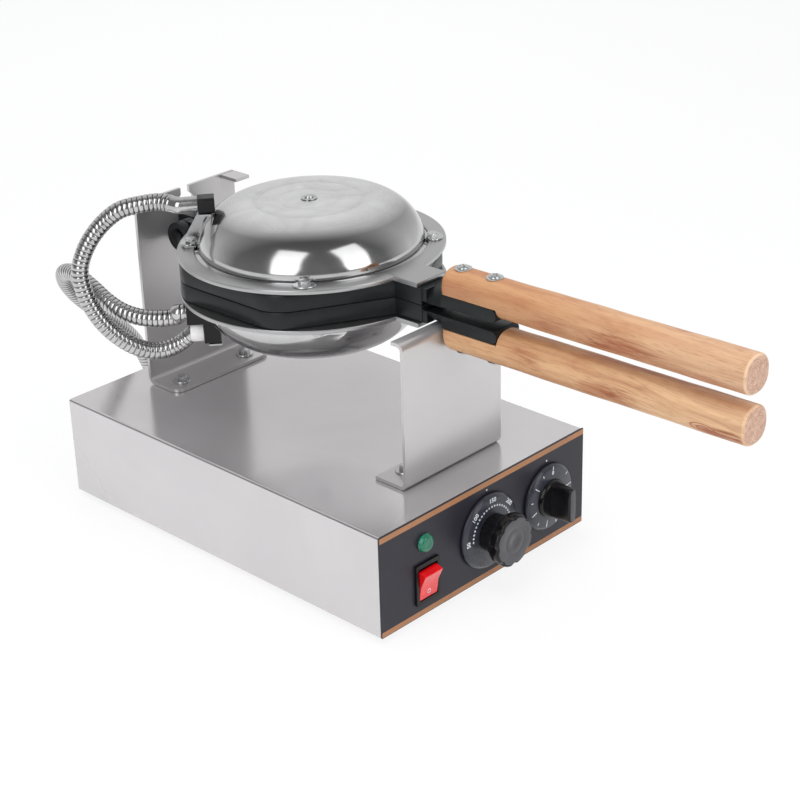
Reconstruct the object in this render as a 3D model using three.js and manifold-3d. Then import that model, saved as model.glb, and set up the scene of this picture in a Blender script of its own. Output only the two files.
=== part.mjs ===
// Bubble waffle maker: a two-part hexagonal iron that turns over on a sheet steel base.
// Millimetres, +Z up, front towards -Y. Origin at the centre of the base's underside.
import * as THREE from 'three';
import { mergeVertices } from 'three/addons/utils/BufferGeometryUtils.js';
import Module from 'manifold-3d';

const wasm = await Module();
wasm.setup();

// Gaps, overruns and the finest distance between two points
const gap = 0.3;
const overrun = 2;
const weld = 1e-4;

// Facets around round pieces
const wideSides = 28;
const midSides = 16;
const smallSides = 8;
const hexSides = 6;
const elementSides = 11;
const bendSteps = 3;
const cornerSteps = 3;

// Base housing
const baseWidth = 250;
const baseDepth = 382;
const baseHeight = 90;
const sheet = 1.2;
const shellBend = 2.5;
const panelThick = 1.5;
const ventWidth = 4;
const ventHeight = 34;
const ventPitch = 9;
const ventCount = 7;
const ventX = -72;
const ventZ = 48;
const floorVentCount = 4;
const floorVentLength = 70;
const floorVentY = 95;

// Rubber feet
const footInsetX = 35;
const footInsetY = 38;
const footHeight = 6.5;
const footRadius = 11;
const footWaist = 9;
const footNeck = 4;
const footCollar = 6;
const footCollarThick = 2;

// Bracket bolts
const boltShank = 2.5;
const boltHead = 5.2;
const boltHeadThick = 4;
const washerRadius = 8;
const washerThick = 1.4;
const nutThick = 4;

// Front support bracket, and the shift to the right that both brackets share
const bracketShift = 1;
const bracketPlate = 3;
const supportFace = 155.7;
const supportWidth = 116;
const supportTop = 217.7;
const supportLip = 12.7;
const supportFoot = 34;
const supportBend = 6;
const supportBoltX = 36;
const supportBoltY = 134;

// Rear bracket with its slot and stop tabs
const rearFace = 162.5;
const rearWidth = 114;
const rearTop = 262;
const rearFoot = 39;
const rearBend = 7;
const rearFootCorner = 10;
const rearBoltX = 38;
const rearBoltY = 138;
const slotHalf = 9;
const slotMouth = 5;
const slotMouthDepth = 10;
const tabWidth = 16;
const tabReach = 23.5;
const tabBend = 4.5;

// Iron: heights are offsets from the parting plane between its halves. The iron lies on the front
// support's lip at partingZ and its front stands a little higher than its rear.
const partingZ = 232.7;
const ironTiltDeg = 1;
const partingGap = 0.15;
const panApothem = 101.3;
const panCorner = 32.6;
const panThick = 15;
const rimWidth = 6.5;
const landDepth = 2.8;
const cupPitch = 30;
const cupRings = 3;
const cupMouth = 13;
const cupMiddle = 10.6;
const cupFloor = 5;
const cupShoulder = 5.5;
const cupDepth = 10.6;
const neckHalf = 14.5;
const neckRoot = 98;
const neckEnd = 137;
const neckSlope = 4;
const armHalf = 14;
const armLow = 3.5;
const armHigh = 14.5;
const armEnd = 213;
const armChamfer = 3;
const journalRadius = partingZ - supportTop - gap;
const journalStart = 141.5;
const journalEnd = 157;

// Clamp ring and its bolts
const ringOuter = 112;
const ringInner = 97.5;
const ringTop = 19;
const ringTabHalf = 17;
const ringTabEnd = 135;
const ringTabRoot = 105;
const ringBoltRadius = 100.5;
const ringBoltTurnDeg = 42.5;
const ringBoltDeep = 9;
const ringShank = 2;
const ringHead = 4.6;
const ringHeadThick = 3;
const ringWasher = 5.6;
const ringWasherThick = 1;

// Dome cover, its screw and the heating element under it
const domeSheet = 1.2;
const domeLip = 97.2;
const domeWall = 94.5;
const upperDomeTop = 56.6;
const lowerDomeTop = 61;
const domeRadiusShares = [0.985, 0.929, 0.841, 0.73, 0.608];
const domeHeightShares = [0.5, 0.68, 0.835, 0.944, 0.99];
const domePressRadius = 45;
const domePressWidth = 3;
const domePressDepth = 0.8;
const domeScrewShank = 2;
const domeScrewHead = 4.2;
const domeScrewHeadThick = 2.4;
const domeWasher = 7;
const bossRadius = 6;
const bossHeight = 12;
const elementRing = 62;
const elementTube = 4;

// Hinge between the halves
const hingeY = 139.6;
const hingeEye = 13;
const hingePin = 5;
const pinCapRadius = 7;
const pinCapThick = 2;
const yokeHalf = 10.6;
const yokeTall = 27;
const yokeFront = 120;
const yokeBack = 158.3;
const upperLugIn = 11.2;
const upperLugOut = 20;
const lowerLugIn = 20.6;
const lowerLugOut = 29;
const axleRadius = 8.4;
const axleEnd = 178;
const nutGap = 0.8;
const axleNutRadius = 14;
const axleNutThick = 8;
const axleWasherRadius = 16;
const axleWasherThick = 2;

// Wooden handles and their screws
const handleHalf = 15;
const handleLow = 4.5;
const handleHigh = 34.5;
const handleStart = 157;
const handleEnd = 438;
const handleCorner = 12.5;
const handleEndRound = 4;
const handleScrewNear = 169;
const handleScrewFar = 201;
const handleShank = 2;
const handleHead = 5;
const handleHeadThick = 2.8;

// Conduit clamps
const clampTurnDeg = -40;
const upperClampX = -58.9;
const upperClampY = 61.3;
const strapThick = 1.5;
const strapHalf = 4.6;
const strapFootReach = 8;
const strapRiser = 9;
const strapClear = 1;
const strapRise = 6;
const strapShelfBack = 10;
const strapShelfDeep = 11;
const upperStrapTop = 48.4;
const lowerStrapTop = 65.5;
const blockLong = 14;
const upperBlockTall = 13;
const upperBlockWide = 15;
const lowerBlockWide = 17.2;
const lowerBlockTop = 28.6;
const lowerBlockStep = 46.1;
const lowerBlockEnd = 63.7;
const feedBlockIn = 94.4;
const feedBlockOut = 108.5;
const jumperBlockIn = 81;
const jumperBlockOut = 95;
const feedSeatHeight = 37.5;
const jumperSeatHeight = 54.8;
const hoseSeat = 7.8;
const hoseSeatDepth = 8;

// Flexible steel conduits
const hoseRib = 7.4;
const hoseValley = 6.3;
const hoseBore = 3.6;
const hoseRibPitch = 6.3;
const hoseSides = 8;
const ribsPerBoreRing = 5;
const hoseStraight = 15;
const glandX = 25;
const glandZ = 36;

// Glands on the rear panel
const mainsEdge = 40;
const mainsX = baseWidth / 2 - mainsEdge;
const mainsZ = 30;
const mainsThread = 8;
const mainsBore = 5;
const conduitThread = 10;
const glandFlange = 14;
const glandFlangeThick = 5;
const glandNose = 9;
const glandNoseRadius = 11.5;
const glandInside = 14;
const glandNutThick = 5;

// Controls on the front panel
const lampEdge = 50;
const lampX = lampEdge - baseWidth / 2;
const lampZ = 65.6;
const lampLens = 7.7;
const lampLensOut = 5;
const lampStem = 5;
const lampBody = 7;
const lampBodyLong = 22;
const lampStemIn = 8;
const switchEdge = 52;
const switchX = switchEdge - baseWidth / 2;
const switchZ = 30;
const bezelWidth = 28;
const bezelTall = 37;
const bezelOut = 2;
const bezelCorner = 2;
const switchOpenWidth = 21.4;
const switchOpenTall = 29.2;
const switchWall = 1.8;
const switchDeep = 26;
const switchPocket = 14;
const rockerWidth = 20.6;
const rockerHalf = 12.6;
const rockerCrown = 7.9;
const rockerCrease = 6;
const rockerBack = 6.4;
const rockerBelly = 9;
const rockerPivotIn = 2.5;
const rockerTiltDeg = 16;
const rockerStub = 1.3;
const rockerStubOut = 1.2;
const dialZ = 45;
const thermostatX = 0;
const timerEdge = 49;
const timerX = baseWidth / 2 - timerEdge;
const dialLift = 1;
const thermostatDial = 33;
const timerDial = 29.6;
const dialThick = 4.5;
const dialBevel = 2.6;
const thermostatKnob = 22.6;
const thermostatFace = 30;
const knobBase = 16.4;
const knobWaist = 13;
const knobShoulder = 22;
const knobFluteCount = 8;
const knobFlute = 4;
const knobFluteOut = 2.4;
const knobTaper = 1.2;
const knobEdge = 1.6;
const timerKnob = 17;
const timerKnobStep = 9.5;
const timerBarHalf = 5.5;
const timerBarReach = 16.4;
const timerFace = 28.7;
const timerBarWaist = 3.8;
const spindle = 3;
const spindleIn = 12;
const bushing = 5;
const thermostatBodyHalf = 20;
const thermostatBodyLong = 24;
const timerBodyHalf = 22;
const timerBodyLong = 34;

// Terminal block on the floor of the base
const terminalLength = 72;
const terminalWidth = 18;
const terminalTall = 16;
const terminalY = 132;
const terminalCount = 4;
const terminalWell = 4;
const terminalWellDeep = 9;

const rad = Math.PI / 180;
const middlePoint = new THREE.Vector2();

// Materials, one new instance for each mesh
const steelSheet = () => new THREE.MeshStandardMaterial({ color: 0xcfcfd2, roughness: 0.34, metalness: 0.9 });
const steelPress = () => new THREE.MeshStandardMaterial({ color: 0xd8d9dc, roughness: 0.2, metalness: 1 });
const zincPlate = () => new THREE.MeshStandardMaterial({ color: 0xc4c6c8, roughness: 0.3, metalness: 0.9 });
const castIron = () => new THREE.MeshStandardMaterial({ color: 0x2b2d33, roughness: 0.45, metalness: 0.6 });
const charcoal = () => new THREE.MeshStandardMaterial({ color: 0x403f44, roughness: 0.55, metalness: 0.2 });
const wood = () => new THREE.MeshStandardMaterial({ color: 0xc98f5f, roughness: 0.6, metalness: 0 });
const blackPlastic = () => new THREE.MeshStandardMaterial({ color: 0x17171a, roughness: 0.5, metalness: 0 });
const greyPlastic = () => new THREE.MeshStandardMaterial({ color: 0x4a4b52, roughness: 0.5, metalness: 0 });
const redPlastic = () => new THREE.MeshStandardMaterial({ color: 0xd2232a, roughness: 0.2, metalness: 0 });
const greenLens = () => new THREE.MeshStandardMaterial({ color: 0x2fae4e, roughness: 0.15, metalness: 0 });
const rubber = () => new THREE.MeshStandardMaterial({ color: 0x1c1c1c, roughness: 0.85, metalness: 0 });
const whitePlastic = () => new THREE.MeshStandardMaterial({ color: 0xe8e6df, roughness: 0.5, metalness: 0 });

// A closed geometry as a solid, with its faces turned out and its shared points merged
function solid(geometry) {
  const bare = geometry.clone();
  bare.deleteAttribute('normal');
  bare.deleteAttribute('uv');
  const merged = mergeVertices(bare, weld);
  const points = merged.attributes.position.array;
  const corners = [];
  let volume = 0;
  for (let i = 0; i < merged.index.count; i += 3) {
    const [a, b, c] = [0, 1, 2].map((k) => merged.index.getX(i + k));
    if (a === b || b === c || c === a) continue;
    corners.push(a, b, c);
    const [p, q, r] = [a, b, c].map((k) => new THREE.Vector3().fromArray(points, k * 3));
    volume += p.dot(q.cross(r));
  }
  if (volume < 0) corners.reverse();
  const data = { numProp: 3, vertProperties: new Float32Array(points), triVerts: new Uint32Array(corners) };
  return new wasm.Manifold(new wasm.Mesh(data));
}

// A solid back as a geometry
function geometryOf(body) {
  const mesh = body.getMesh();
  const geometry = new THREE.BufferGeometry();
  geometry.setAttribute('position', new THREE.BufferAttribute(new Float32Array(mesh.vertProperties), 3));
  geometry.setIndex(new THREE.BufferAttribute(new Uint32Array(mesh.triVerts), 1));
  geometry.computeVertexNormals();
  return geometry;
}

function join(bodies) {
  return bodies.reduce((sum, body) => sum.add(body));
}

function cut(body, cutters) {
  return cutters.reduce((left, cutter) => left.subtract(cutter), body);
}

// A box between two corners
function block(x0, x1, y0, y1, z0, z1) {
  const geometry = new THREE.BoxGeometry(x1 - x0, y1 - y0, z1 - z0);
  geometry.translate((x0 + x1) / 2, (y0 + y1) / 2, (z0 + z1) / 2);
  return solid(geometry);
}

function outline(points) {
  return new THREE.Shape(points.map(([a, b]) => new THREE.Vector2(a, b)));
}

// A rounded rectangle
function roundedOutline(a0, a1, b0, b1, radius) {
  const shape = new THREE.Shape();
  shape.moveTo(a0 + radius, b0);
  shape.absarc(a1 - radius, b0 + radius, radius, -Math.PI / 2, 0);
  shape.absarc(a1 - radius, b1 - radius, radius, 0, Math.PI / 2);
  shape.absarc(a0 + radius, b1 - radius, radius, Math.PI / 2, Math.PI);
  shape.absarc(a0 + radius, b0 + radius, radius, Math.PI, Math.PI * 1.5);
  return shape;
}

function extruded(shape, depth, steps = cornerSteps) {
  return new THREE.ExtrudeGeometry(shape, { depth, bevelEnabled: false, curveSegments: steps });
}

// An outline in (x, y) pushed up from z0 to z1
function prismZ(shape, z0, z1, steps) {
  return solid(extruded(shape, z1 - z0, steps).translate(0, 0, z0));
}

// An outline in (y, z) pushed along X
function prismX(shape, x0, x1, steps) {
  const turn = new THREE.Matrix4().set(0, 0, 1, x0, 1, 0, 0, 0, 0, 1, 0, 0, 0, 0, 0, 1);
  return solid(extruded(shape, x1 - x0, steps).applyMatrix4(turn));
}

// An outline in (x, z) pushed along Y
function prismY(shape, y0, y1, steps) {
  return solid(extruded(shape, y1 - y0, steps).rotateX(Math.PI / 2).translate(0, y1, 0));
}

// A profile of (radius, height) turned about Z
function turned(profile, sides) {
  const points = profile.map(([r, h]) => new THREE.Vector2(r, h));
  return solid(new THREE.LatheGeometry(points, sides).rotateX(Math.PI / 2));
}

// A plain rod up Z
function rod(radius, z0, z1, sides = smallSides) {
  return turned([[0, z0], [radius, z0], [radius, z1], [0, z1]], sides);
}

// The same solids laid along Y, with their height counted towards the front
function towardsFront(body) {
  return body.rotate([90, 0, 0]);
}

// The same solids laid along Y, with their height counted towards the rear
function towardsRear(body) {
  return body.rotate([-90, 0, 0]);
}

// A bent strip in (y, z): one face follows the given corners, the other lies a thickness to its left
function bentStrip(corners, radius, thick) {
  const face = [];
  corners.forEach((corner, i) => {
    const here = new THREE.Vector2(...corner);
    if (i === 0 || i === corners.length - 1) {
      const other = new THREE.Vector2(...corners[i === 0 ? 1 : i - 1]);
      const run = i === 0 ? other.clone().sub(here) : here.clone().sub(other);
      face.push([here, run.normalize()]);
      return;
    }
    const before = here.clone().sub(new THREE.Vector2(...corners[i - 1])).normalize();
    const after = new THREE.Vector2(...corners[i + 1]).sub(here).normalize();
    const turn = Math.atan2(before.cross(after), before.dot(after));
    const inset = radius * Math.tan(Math.abs(turn) / 2);
    const start = here.clone().addScaledVector(before, -inset);
    const side = new THREE.Vector2(-before.y, before.x).multiplyScalar(Math.sign(turn));
    const centre = start.clone().addScaledVector(side, radius);
    for (let k = 0; k <= bendSteps; k += 1) {
      const angle = (turn * k) / bendSteps;
      const spoke = start.clone().sub(centre).rotateAround(middlePoint, angle);
      face.push([centre.clone().add(spoke), before.clone().rotateAround(middlePoint, angle)]);
    }
  });
  const back = face.map(([p, d]) => p.clone().add(new THREE.Vector2(-d.y, d.x).multiplyScalar(thick)));
  return new THREE.Shape([...face.map(([p]) => p), ...back.reverse()]);
}

// Places of four pieces at the corners of a rectangle
function fourCorners(x, y) {
  return [[x, y], [-x, y], [-x, -y], [x, -y]];
}

const model = new THREE.Group();
model.name = 'bubble_waffle_maker';

function addPiece(parent, name, body, material, place = [0, 0, 0], turnZ = 0) {
  const mesh = new THREE.Mesh(geometryOf(body), material());
  mesh.name = name;
  mesh.position.set(...place);
  mesh.rotation.z = turnZ;
  parent.add(mesh);
  return mesh;
}

// Base housing
const halfWidth = baseWidth / 2;
const halfDepth = baseDepth / 2;
const restY = supportLip - supportFace;
const axleRun = rearFace - bracketPlate / 2 - restY;
const axleZ = partingZ - axleRun * Math.tan(ironTiltDeg * rad);
const panelBack = panelThick - halfDepth;
const innerHalf = halfWidth - sheet - gap;
const flangeTop = baseHeight + gap + bracketPlate;
const bracketBolts = [
  ...[-1, 1].map((side) => [bracketShift + side * supportBoltX, -supportBoltY]),
  ...[-1, 1].map((side) => [side * rearBoltX, rearBoltY]),
];

function baseShell() {
  const shape = new THREE.Shape();
  shape.moveTo(-halfWidth, 0);
  shape.lineTo(sheet - halfWidth, 0);
  shape.lineTo(sheet - halfWidth, baseHeight - sheet);
  shape.lineTo(halfWidth - sheet, baseHeight - sheet);
  shape.lineTo(halfWidth - sheet, 0);
  shape.lineTo(halfWidth, 0);
  shape.absarc(halfWidth - shellBend, baseHeight - shellBend, shellBend, 0, Math.PI / 2);
  shape.absarc(shellBend - halfWidth, baseHeight - shellBend, shellBend, Math.PI / 2, Math.PI);
  const shell = prismY(shape, panelBack + gap, halfDepth, bendSteps);
  const holes = bracketBolts.map(([x, y]) => rod(boltShank + gap, baseHeight - overrun, baseHeight + overrun)
    .translate([x, y, 0]));
  return cut(shell, holes);
}

function frontPanel() {
  const panel = block(-halfWidth, halfWidth, -halfDepth, panelBack, 0, baseHeight);
  const through = halfDepth + overrun;
  const bore = (radius, x, z) => towardsFront(rod(radius + gap, halfDepth - panelThick - overrun, through))
    .translate([x, 0, z]);
  const switchHole = block(
    switchX - switchOpenWidth / 2 - switchWall - gap, switchX + switchOpenWidth / 2 + switchWall + gap,
    -through, panelBack + overrun,
    switchZ - switchOpenTall / 2 - switchWall - gap, switchZ + switchOpenTall / 2 + switchWall + gap,
  );
  return cut(panel, [
    bore(lampStem, lampX, lampZ),
    bore(bushing, thermostatX, dialZ),
    bore(bushing, timerX, dialZ),
    switchHole,
  ]);
}

function rearPanel() {
  const low = sheet + gap;
  const panel = block(-innerHalf, innerHalf, halfDepth - sheet, halfDepth, low, baseHeight - sheet - gap);
  const bore = (radius, x, z) => towardsRear(rod(radius + gap, halfDepth - sheet - overrun, halfDepth + overrun))
    .translate([x, 0, z]);
  const vents = [];
  for (let i = 0; i < ventCount; i += 1) {
    const x = ventX + (i - (ventCount - 1) / 2) * ventPitch;
    vents.push(block(
      x - ventWidth / 2, x + ventWidth / 2, halfDepth - sheet - overrun, halfDepth + overrun,
      ventZ - ventHeight / 2, ventZ + ventHeight / 2,
    ));
  }
  return cut(panel, [bore(mainsThread, mainsX, mainsZ), bore(conduitThread, glandX, glandZ), ...vents]);
}

function bottomPlate() {
  const plate = block(-innerHalf, innerHalf, panelBack + gap, halfDepth, 0, sheet);
  const footHole = rod(footNeck + gap, -overrun, sheet + overrun);
  const feet = footPlaces.map(([x, y]) => footHole.translate([x, y, 0]));
  const vents = [];
  for (let i = 0; i < floorVentCount; i += 1) {
    for (const side of [-1, 1]) {
      const x = (i - (floorVentCount - 1) / 2) * ventPitch * 2;
      const y = side * floorVentY;
      vents.push(block(
        x - ventWidth / 2, x + ventWidth / 2, y - floorVentLength / 2, y + floorVentLength / 2,
        -overrun, sheet + overrun,
      ));
    }
  }
  return cut(plate, [...feet, ...vents]);
}

const footPlaces = fourCorners(halfWidth - footInsetX, halfDepth - footInsetY);

function foot() {
  return turned([
    [0, -footHeight],
    [footWaist, -footHeight],
    [footRadius, -gap],
    [footNeck, -gap],
    [footNeck, sheet + gap],
    [footCollar, sheet + gap],
    [footNeck, sheet + gap + footCollarThick],
    [0, sheet + gap + footCollarThick],
  ], smallSides);
}

// A bolt with its washer and nut, through a bracket's foot and the top of the shell
function bracketBolt() {
  const head = rod(boltHead, gap + washerThick, gap + washerThick + boltHeadThick, hexSides);
  const washer = rod(washerRadius, gap, gap + washerThick);
  const nutTop = -bracketPlate - gap - sheet - gap;
  const shank = rod(boltShank, nutTop - nutThick - overrun, gap + washerThick + boltHeadThick / 2, smallSides);
  const nut = rod(boltHead, nutTop - nutThick, nutTop, hexSides);
  return join([head, washer, shank, nut]);
}

function boltHoles(places) {
  return places.map(([x, y]) => rod(boltShank + gap, baseHeight - overrun, flangeTop + overrun).translate([x, y, 0]));
}

// Foot flange to the rear, upright plate, and a lip rolled to the rear along the top
function frontSupport() {
  const low = baseHeight + gap;
  const strip = bentStrip([
    [supportFoot - supportFace, low],
    [-supportFace, low],
    [-supportFace, supportTop],
    [supportLip - supportFace, supportTop],
  ], supportBend, -bracketPlate);
  const plate = prismX(strip, bracketShift - supportWidth / 2, bracketShift + supportWidth / 2);
  return cut(plate, boltHoles(bracketBolts.slice(0, 2)));
}

// Upright plate with the axle slot, a foot flange to the front and two stop tabs bent to the front
function rearBracket() {
  const low = baseHeight + gap;
  const left = bracketShift - rearWidth / 2;
  const right = bracketShift + rearWidth / 2;
  const base = bentStrip([
    [rearFace - rearFoot, low],
    [rearFace, low],
    [rearFace, rearTop],
  ], rearBend, bracketPlate);
  const tab = bentStrip([
    [rearFace, partingZ],
    [rearFace, rearTop],
    [rearFace - tabReach, rearTop],
  ], tabBend, bracketPlate);
  const tabs = [[left, left + tabWidth], [right - tabWidth, right]].map(([a, b]) => prismX(tab, a, b));
  const rounded = (side) => {
    const x = side > 0 ? right - rearFootCorner : left + rearFootCorner;
    const y = rearFace - rearFoot + rearFootCorner;
    const shape = outline([
      [x, y], [x, y - rearFootCorner], ...[1, 2, 3].map((k) => {
        const angle = (k * Math.PI) / 8;
        return [x + side * rearFootCorner * Math.sin(angle), y - rearFootCorner * Math.cos(angle)];
      }), [x + side * rearFootCorner, y],
    ]);
    const square = block(
      Math.min(x, x + side * (rearFootCorner + overrun)), Math.max(x, x + side * (rearFootCorner + overrun)),
      y - rearFootCorner - overrun, y, low - overrun, flangeTop + overrun,
    );
    return square.subtract(prismZ(shape, low - overrun - gap, flangeTop + overrun + gap));
  };
  const slot = new THREE.Shape();
  slot.absarc(0, axleZ, slotHalf, Math.PI, Math.PI * 2);
  slot.lineTo(slotHalf, rearTop - slotMouthDepth);
  slot.lineTo(slotMouth, rearTop - slotMouthDepth + (slotHalf - slotMouth));
  slot.lineTo(slotMouth, rearTop + overrun);
  slot.lineTo(-slotMouth, rearTop + overrun);
  slot.lineTo(-slotMouth, rearTop - slotMouthDepth + (slotHalf - slotMouth));
  slot.lineTo(-slotHalf, rearTop - slotMouthDepth);
  const slotCut = prismY(slot, rearFace - bracketPlate - overrun, rearFace + overrun, cornerSteps * 2);
  const plate = join([prismX(base, left, right), ...tabs]);
  return cut(plate, [slotCut, rounded(1), rounded(-1), ...boltHoles(bracketBolts.slice(2))]);
}

// Iron halves: built with the parting plane at z = 0 and the outside up
function hexOutline(apothem, corner) {
  const shape = new THREE.Shape();
  const reach = (apothem - corner) / Math.cos(Math.PI / 6);
  for (let k = 0; k < hexSides; k += 1) {
    const middle = Math.PI / 6 + (k * Math.PI) / 3;
    const x = reach * Math.cos(middle);
    const y = reach * Math.sin(middle);
    shape.absarc(x, y, corner, middle - Math.PI / 6, middle + Math.PI / 6);
  }
  return shape;
}

// Centres of the cups: a middle one and rings of six, twelve and eighteen around it
function cupPlaces() {
  const places = [];
  for (let i = -cupRings; i <= cupRings; i += 1) {
    for (let j = -cupRings; j <= cupRings; j += 1) {
      if (Math.abs(i + j) > cupRings) continue;
      places.push([cupPitch * Math.cos(Math.PI / 6) * i, cupPitch * (j + i / 2)]);
    }
  }
  return places;
}

function hingeLug(inner, outer, side) {
  const eye = prismX(outline(
    Array.from({ length: midSides }, (_, k) => {
      const angle = ((k + 0.5) * 2 * Math.PI) / midSides;
      return [hingeY + hingeEye * Math.cos(angle), hingeEye * Math.sin(angle)];
    }),
  ), Math.min(side * inner, side * outer), Math.max(side * inner, side * outer));
  const web = block(
    Math.min(side * inner, side * outer), Math.max(side * inner, side * outer),
    neckRoot, hingeY, partingGap, hingeEye * Math.cos(Math.PI / midSides),
  );
  return eye.add(web);
}

function pan(lugInner, lugOuter) {
  const casting = prismZ(hexOutline(panApothem, panCorner), partingGap, panThick);
  const neck = prismX(outline([
    [-neckRoot, partingGap],
    [-neckRoot, panThick],
    [neckSlope - neckEnd, panThick],
    [-neckEnd, armHigh],
    [-neckEnd, partingGap],
  ]), -neckHalf, neckHalf);
  const arm = prismX(outline([
    [-neckEnd + overrun, armLow],
    [-neckEnd + overrun, armHigh],
    [-armEnd + armChamfer, armHigh],
    [-armEnd, armHigh - armChamfer],
    [-armEnd, armLow + armChamfer],
    [-armEnd + armChamfer, armLow],
  ]), -armHalf, armHalf);
  const journalBlank = block(
    -armHalf - overrun, armHalf + overrun, -journalEnd, -journalStart, armLow - overrun, armHigh + overrun,
  );
  const journal = towardsFront(rod(journalRadius, journalStart - overrun, journalEnd + overrun, midSides));
  const boss = rod(bossRadius, panThick - overrun, panThick + bossHeight);
  const body = join([
    casting,
    neck,
    arm.subtract(journalBlank.subtract(journal)),
    boss,
    hingeLug(lugInner, lugOuter, 1),
    hingeLug(lugInner, lugOuter, -1),
  ]);
  const land = prismZ(hexOutline(panApothem - rimWidth, panCorner - rimWidth), -overrun, landDepth);
  const cup = turned([
    [0, landDepth - overrun],
    [cupMouth, landDepth - overrun],
    [cupMouth, landDepth],
    [cupMiddle, landDepth + cupShoulder],
    [cupFloor, landDepth + cupDepth],
    [0, landDepth + cupDepth],
  ], smallSides);
  const cups = cupPlaces().map(([x, y]) => cup.translate([x, y, 0]));
  const ringHole = rod(ringShank + gap, panThick - ringBoltDeep, panThick + overrun);
  const ringHoles = ringBoltPlaces.map(([x, y]) => ringHole.translate([x, y, 0]));
  const bossHole = rod(domeScrewShank + gap, panThick, panThick + bossHeight + overrun);
  const pinHole = rod(hingePin + gap, -lugOuter - overrun, lugOuter + overrun, midSides).rotate([0, 90, 0])
    .translate([0, hingeY, 0]);
  const screwHole = rod(handleShank + gap, 0, panThick + overrun);
  const screwHoles = [handleScrewNear, handleScrewFar].map((y) => screwHole.translate([0, -y, 0]));
  return cut(body, [land, ...cups, ...ringHoles, bossHole, pinHole, ...screwHoles]);
}

const ringBoltPlaces = [0, 1, 2, 3].map((k) => {
  const angle = ringBoltTurnDeg * rad + (k * Math.PI) / 2;
  return [ringBoltRadius * Math.cos(angle), ringBoltRadius * Math.sin(angle)];
});

function clampRing() {
  const low = panThick + gap;
  const ring = turned([
    [ringInner, low],
    [ringOuter, low],
    [ringOuter, ringTop],
    [ringInner, ringTop],
    [ringInner, low],
  ], wideSides);
  const tab = block(-ringTabHalf, ringTabHalf, -ringTabEnd, -ringTabRoot, low, ringTop);
  const hole = rod(ringShank + gap, low - overrun, ringTop + overrun);
  return cut(ring.add(tab), ringBoltPlaces.map(([x, y]) => hole.translate([x, y, 0])));
}

// A bolt of the clamp ring, its washer standing a lift above the ring
function ringBolt(lift) {
  const low = ringTop + gap + lift;
  const washer = rod(ringWasher, low, low + ringWasherThick);
  const head = rod(ringHead, low + ringWasherThick, low + ringWasherThick + ringHeadThick, hexSides);
  const shank = rod(ringShank, panThick - ringBoltDeep + gap, low + ringWasherThick + ringHeadThick / 2);
  return join([washer, head, shank]);
}

// A thin pressed cover with a lip inside the clamp ring and a shallow pressed ring on its top
function domeCover(domeTop) {
  const low = panThick + gap;
  const shoulder = domeRadiusShares.map((share, i) => [domeWall * share, domeTop * domeHeightShares[i]]);
  const outer = [
    [domeLip, low],
    [domeLip, ringTop],
    [domeWall, ringTop],
    ...shoulder,
    [domePressRadius + domePressWidth, domeTop],
    [domePressRadius, domeTop - domePressDepth],
    [domePressRadius - domePressWidth, domeTop],
    [domeScrewShank + gap, domeTop],
  ];
  const inner = [
    [domeScrewShank + gap, domeTop - domeSheet - domePressDepth],
    [domePressRadius + domePressWidth, domeTop - domeSheet - domePressDepth],
    ...[shoulder[2]].map(([r, h]) => [r - domeSheet * 1.6, h - domeSheet * 2]),
    [domeWall - domeSheet * 1.6, low],
    [domeLip, low],
  ];
  return turned([...outer, ...inner], wideSides);
}

function domeScrew(domeTop) {
  const low = domeTop + gap;
  const washer = rod(domeWasher, low, low + washerThick / 2, smallSides);
  const head = turned([
    [0, low],
    [domeScrewHead, low],
    [domeScrewHead * 0.86, low + domeScrewHeadThick * 0.75],
    [domeScrewHead * 0.45, low + domeScrewHeadThick],
    [0, low + domeScrewHeadThick],
  ], smallSides);
  const shank = rod(domeScrewShank, panThick + gap, low + washerThick / 4);
  return join([washer, head, shank]);
}

// A tubular heating ring on the back of the pan
function heatingElement() {
  const profile = Array.from({ length: hexSides + 1 }, (_, k) => {
    const angle = (-k * 2 * Math.PI) / hexSides;
    const centre = panThick + gap + elementTube;
    return [elementRing + elementTube * Math.sin(angle), centre - elementTube * Math.cos(angle)];
  });
  return turned(profile, elementSides);
}

// A wooden grip with rounded ends, rebated over the end of the arm
function handle() {
  const across = prismY(
    roundedOutline(-handleHalf, handleHalf, handleLow, handleHigh, handleCorner), -handleEnd, -handleStart,
  );
  const side = prismX(
    roundedOutline(-handleEnd, -handleStart, handleLow, handleHigh, handleEndRound),
    -handleHalf - overrun, handleHalf + overrun,
  );
  const plan = prismZ(
    roundedOutline(-handleHalf, handleHalf, -handleEnd, -handleStart, handleEndRound),
    handleLow - overrun, handleHigh + overrun, 2,
  );
  const rebate = block(
    -handleHalf - overrun, handleHalf + overrun, -armEnd - gap, overrun - handleStart, 0, armHigh + gap,
  );
  const hole = rod(handleShank + gap, 0, handleHigh + overrun);
  const holes = [handleScrewNear, handleScrewFar].map((y) => hole.translate([0, -y, 0]));
  return cut(across.intersect(side).intersect(plan), [rebate, ...holes]);
}

function handleScrew() {
  const low = handleHigh + gap;
  const head = turned([
    [0, low],
    [handleHead, low],
    [handleHead * 0.86, low + handleHeadThick * 0.6],
    [handleHead * 0.5, low + handleHeadThick],
    [0, low + handleHeadThick],
  ], smallSides);
  return head.add(rod(handleShank, armLow + gap, low + handleHeadThick / 2));
}

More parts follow.
